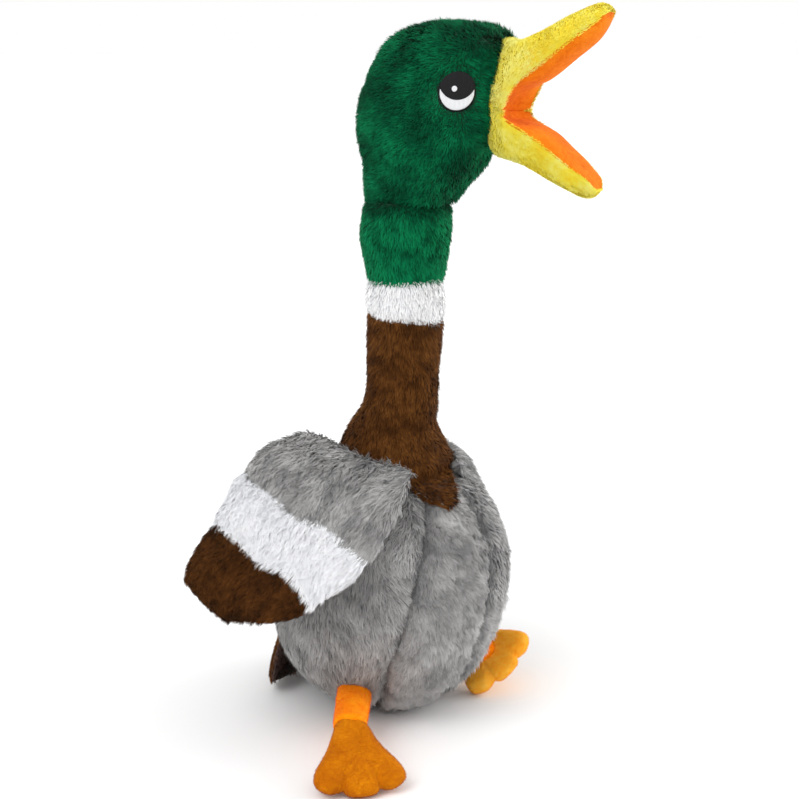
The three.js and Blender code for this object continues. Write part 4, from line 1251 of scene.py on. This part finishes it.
def makeFoot(label):
    v, place = footValues, legPlaces[label]
    points, faces = footLocal()
    x, y = points[:, 0], -points[:, 1]
    fork = y * v["fork"]
    toes = np.minimum(np.abs(x - fork), np.abs(x + fork))  # the stitched lines between the toes
    n = normalsOf(points, faces)
    line = dip(toes, v["toeDepth"], v["toeWidth"]) * step(*v["toesFrom"], y)
    points = points + n * (line + lumps(points, 14, 151) * 0.7)[:, None]
    pitch = 0.0
    while pitch < v["mostPitch"] and setFoot(points, place, pitch)[:, 2].min() > v["clearance"]:
        pitch += v["pitchStep"]
    points = pushedOut(setFoot(points, place, pitch), 1.0)
    skin = refined(f"foot{label.title()}Plush", points, faces, [velour[place["cloth"]]])
    p, n = readPoints(skin)
    p[:, 2] = np.maximum(p[:, 2], 0.5)
    writePoints(skin, p)
    comb = tangents(n, (p - np.array(place["ankle"])) / 30 + swirls(p, 14, 152, flat=True))
    shade = lumps(p, 22, 154) * 0.2
    hair = growPile(f"foot{label.title()}Pile", skin, place["cloth"], footPile, comb, p[:, 2] > 0.8,
                    1, shade, 50 + len(label))
    for piece in (skin, hair):
        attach(piece, "foot_" + label)
    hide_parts(*[f"foot_{label}_{part}" for part in ("top", "sole", "stuffing")])


def makeLeg(label):
    v, place = footValues, legPlaces[label]
    hip, ankle = np.array(place["hip"], float), np.array(place["ankle"], float)
    way = unit(ankle - hip)
    across = unit(np.array([-way[1], way[0], 0]))
    up = np.cross(across, way)
    rings = []
    length = np.linalg.norm(ankle - hip)
    for t in np.linspace(place["start"], 1.1, v["legSides"]):
        wide = v["legRadius"] - 0.5 * np.clip(t, 0, 1)
        high = v["ankleRadius"] + 0.6
        cap = math.sqrt(max(0.02, 1 - max(0, (t - 0.98) / 0.13, (place["start"] + 0.2 - t) / 0.21) ** 2))
        turn = 2 * np.pi * np.arange(v["legSides"]) / v["legSides"]
        middle = hip + way * length * t
        flat = np.outer(np.cos(turn), across) * wide * cap
        rings.append(middle + flat + np.outer(np.sin(turn), up) * high * cap)
    points, faces = loftPoints(rings)
    n = normalsOf(points, faces)
    points = points + n * (lumps(points, 13, 161) * 0.7)[:, None]
    skin = refined(f"leg{label.title()}Plush", points, faces, [velour["leg"]])
    p, n = readPoints(skin)
    comb = tangents(n, np.tile(way, (len(p), 1)) + swirls(p, 14, 162, flat=True) * 0.7)
    hair = growPile(f"leg{label.title()}Pile", skin, "leg", legPile, comb, seed=60 + len(label))
    for piece in (skin, hair):
        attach(piece, "leg_" + label)
    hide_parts("leg_" + label)


for label in legPlaces:
    makeFoot(label)
    makeLeg(label)
print("stage: legs and feet made")


# Squeakers inside, which the skins hide: soft moulded bulbs and their hard reed cups

squeakers = {  # display colours, dark and light, size of the moulding's clouds in metres, roughness
    "squeaker_bulb": ((214, 216, 220), (236, 238, 240), 0.012, 0.42),
    "squeaker_reed_cup": ((196, 52, 48), (214, 72, 66), 0.004, 0.3),
    "honker_bulb": ((206, 208, 214), (230, 232, 236), 0.016, 0.46),
    "honker_reed_cup": ((40, 92, 168), (58, 112, 190), 0.005, 0.3),
}


def plasticMaterial(name, dark, light, cloudSize, roughness):
    made, b = newMaterial(name)
    place = b.ownPlace()
    cloud = b.noise(place, 1 / cloudSize, 3)
    pores = b.noise(place, 1400, 2)
    bumped = b.bump(cloud * 0.6 + pores * 0.4, 0.25, 0.0003)
    base = b.mixed(cloud, rgba(dark), rgba(light))
    finishMaterial(b, base, roughness + 0.15 * pores, bumped, specular=0.45)
    return made


for node, (dark, light, cloudSize, roughness) in squeakers.items():
    name = node.title().replace("_", "")
    finish = plasticMaterial(name, colour(*dark), colour(*light), cloudSize, roughness)
    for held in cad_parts[node].material_slots:
        held.material = finish


# Floor, light and camera

stageValues = dict(floorTone=(0.9, 0.9, 0.9), floorReach=400, skyLight=1.0, sunLight=1.1, rimLight=1.3,
                   sunSpread=38, cameraAzimuth=-36, cameraOut=1.0, cameraHeight=0.43, cameraPitch=12.5,
                   lens=70.3, aside=0.0052)


def makeStage():
    v = stageValues
    made, b = newMaterial("paleFloor")
    finishMaterial(b, rgba(v["floorTone"]), 0.9)
    mesh = bpy.data.meshes.new("floor")
    reach = v["floorReach"]
    corners = [(-reach, -reach, 0), (reach, -reach, 0), (reach, reach, 0), (-reach, reach, 0)]
    mesh.from_pydata(corners, [], [(0, 1, 2, 3)])
    mesh.materials.append(made)
    floor = bpy.data.objects.new("floor", mesh)
    bpy.context.scene.collection.objects.link(floor)
    world = bpy.data.worlds.new("studio")
    world.use_nodes = True
    sky = world.node_tree.nodes["Background"].inputs
    sky["Color"].default_value = (1, 1, 1, 1)
    sky["Strength"].default_value = v["skyLight"]
    bpy.context.scene.world = world
    a = math.radians(v["cameraAzimuth"])
    right = Vector((math.cos(a), math.sin(a), 0))
    away = Vector((-math.sin(a), math.cos(a), 0))
    up = Vector((0, 0, 1))
    suns = (("softSun", v["sunLight"], -0.75 * right - 0.75 * away + 1.3 * up),
            ("rimSun", v["rimLight"], 1.2 * right + 0.45 * away + 0.45 * up))
    for name, strength, place in suns:
        sun = bpy.data.lights.new(name, "SUN")
        sun.energy, sun.angle = strength, math.radians(v["sunSpread"])
        thing = bpy.data.objects.new(name, sun)
        thing.location = place
        thing.rotation_euler = (-place).to_track_quat("-Z", "Y").to_euler()
        bpy.context.scene.collection.objects.link(thing)
    lens = bpy.data.cameras.new("camera")
    lens.lens, lens.sensor_width = v["lens"], 36
    lens.clip_start = 0.01
    camera = bpy.data.objects.new("camera", lens)
    camera.location = right * v["aside"] - away * v["cameraOut"] + up * v["cameraHeight"]
    pitch = math.radians(v["cameraPitch"])
    aim = away * math.cos(pitch) - up * math.sin(pitch)
    camera.rotation_euler = aim.to_track_quat("-Z", "Y").to_euler()
    bpy.context.scene.collection.objects.link(camera)
    bpy.context.scene.camera = camera
    bpy.context.scene.view_settings.view_transform = "Standard"


makeStage()
shownMeshes = [o for o in bpy.context.scene.objects if o.type == "MESH" and not o.hide_render]
triangles = {o.name: sum(len(p.vertices) - 2 for p in o.data.polygons) for o in shownMeshes}
most = max(triangles.items(), key=lambda item: item[1])
print("stage: all made,", sum(triangles.values()), "triangles, most", most)
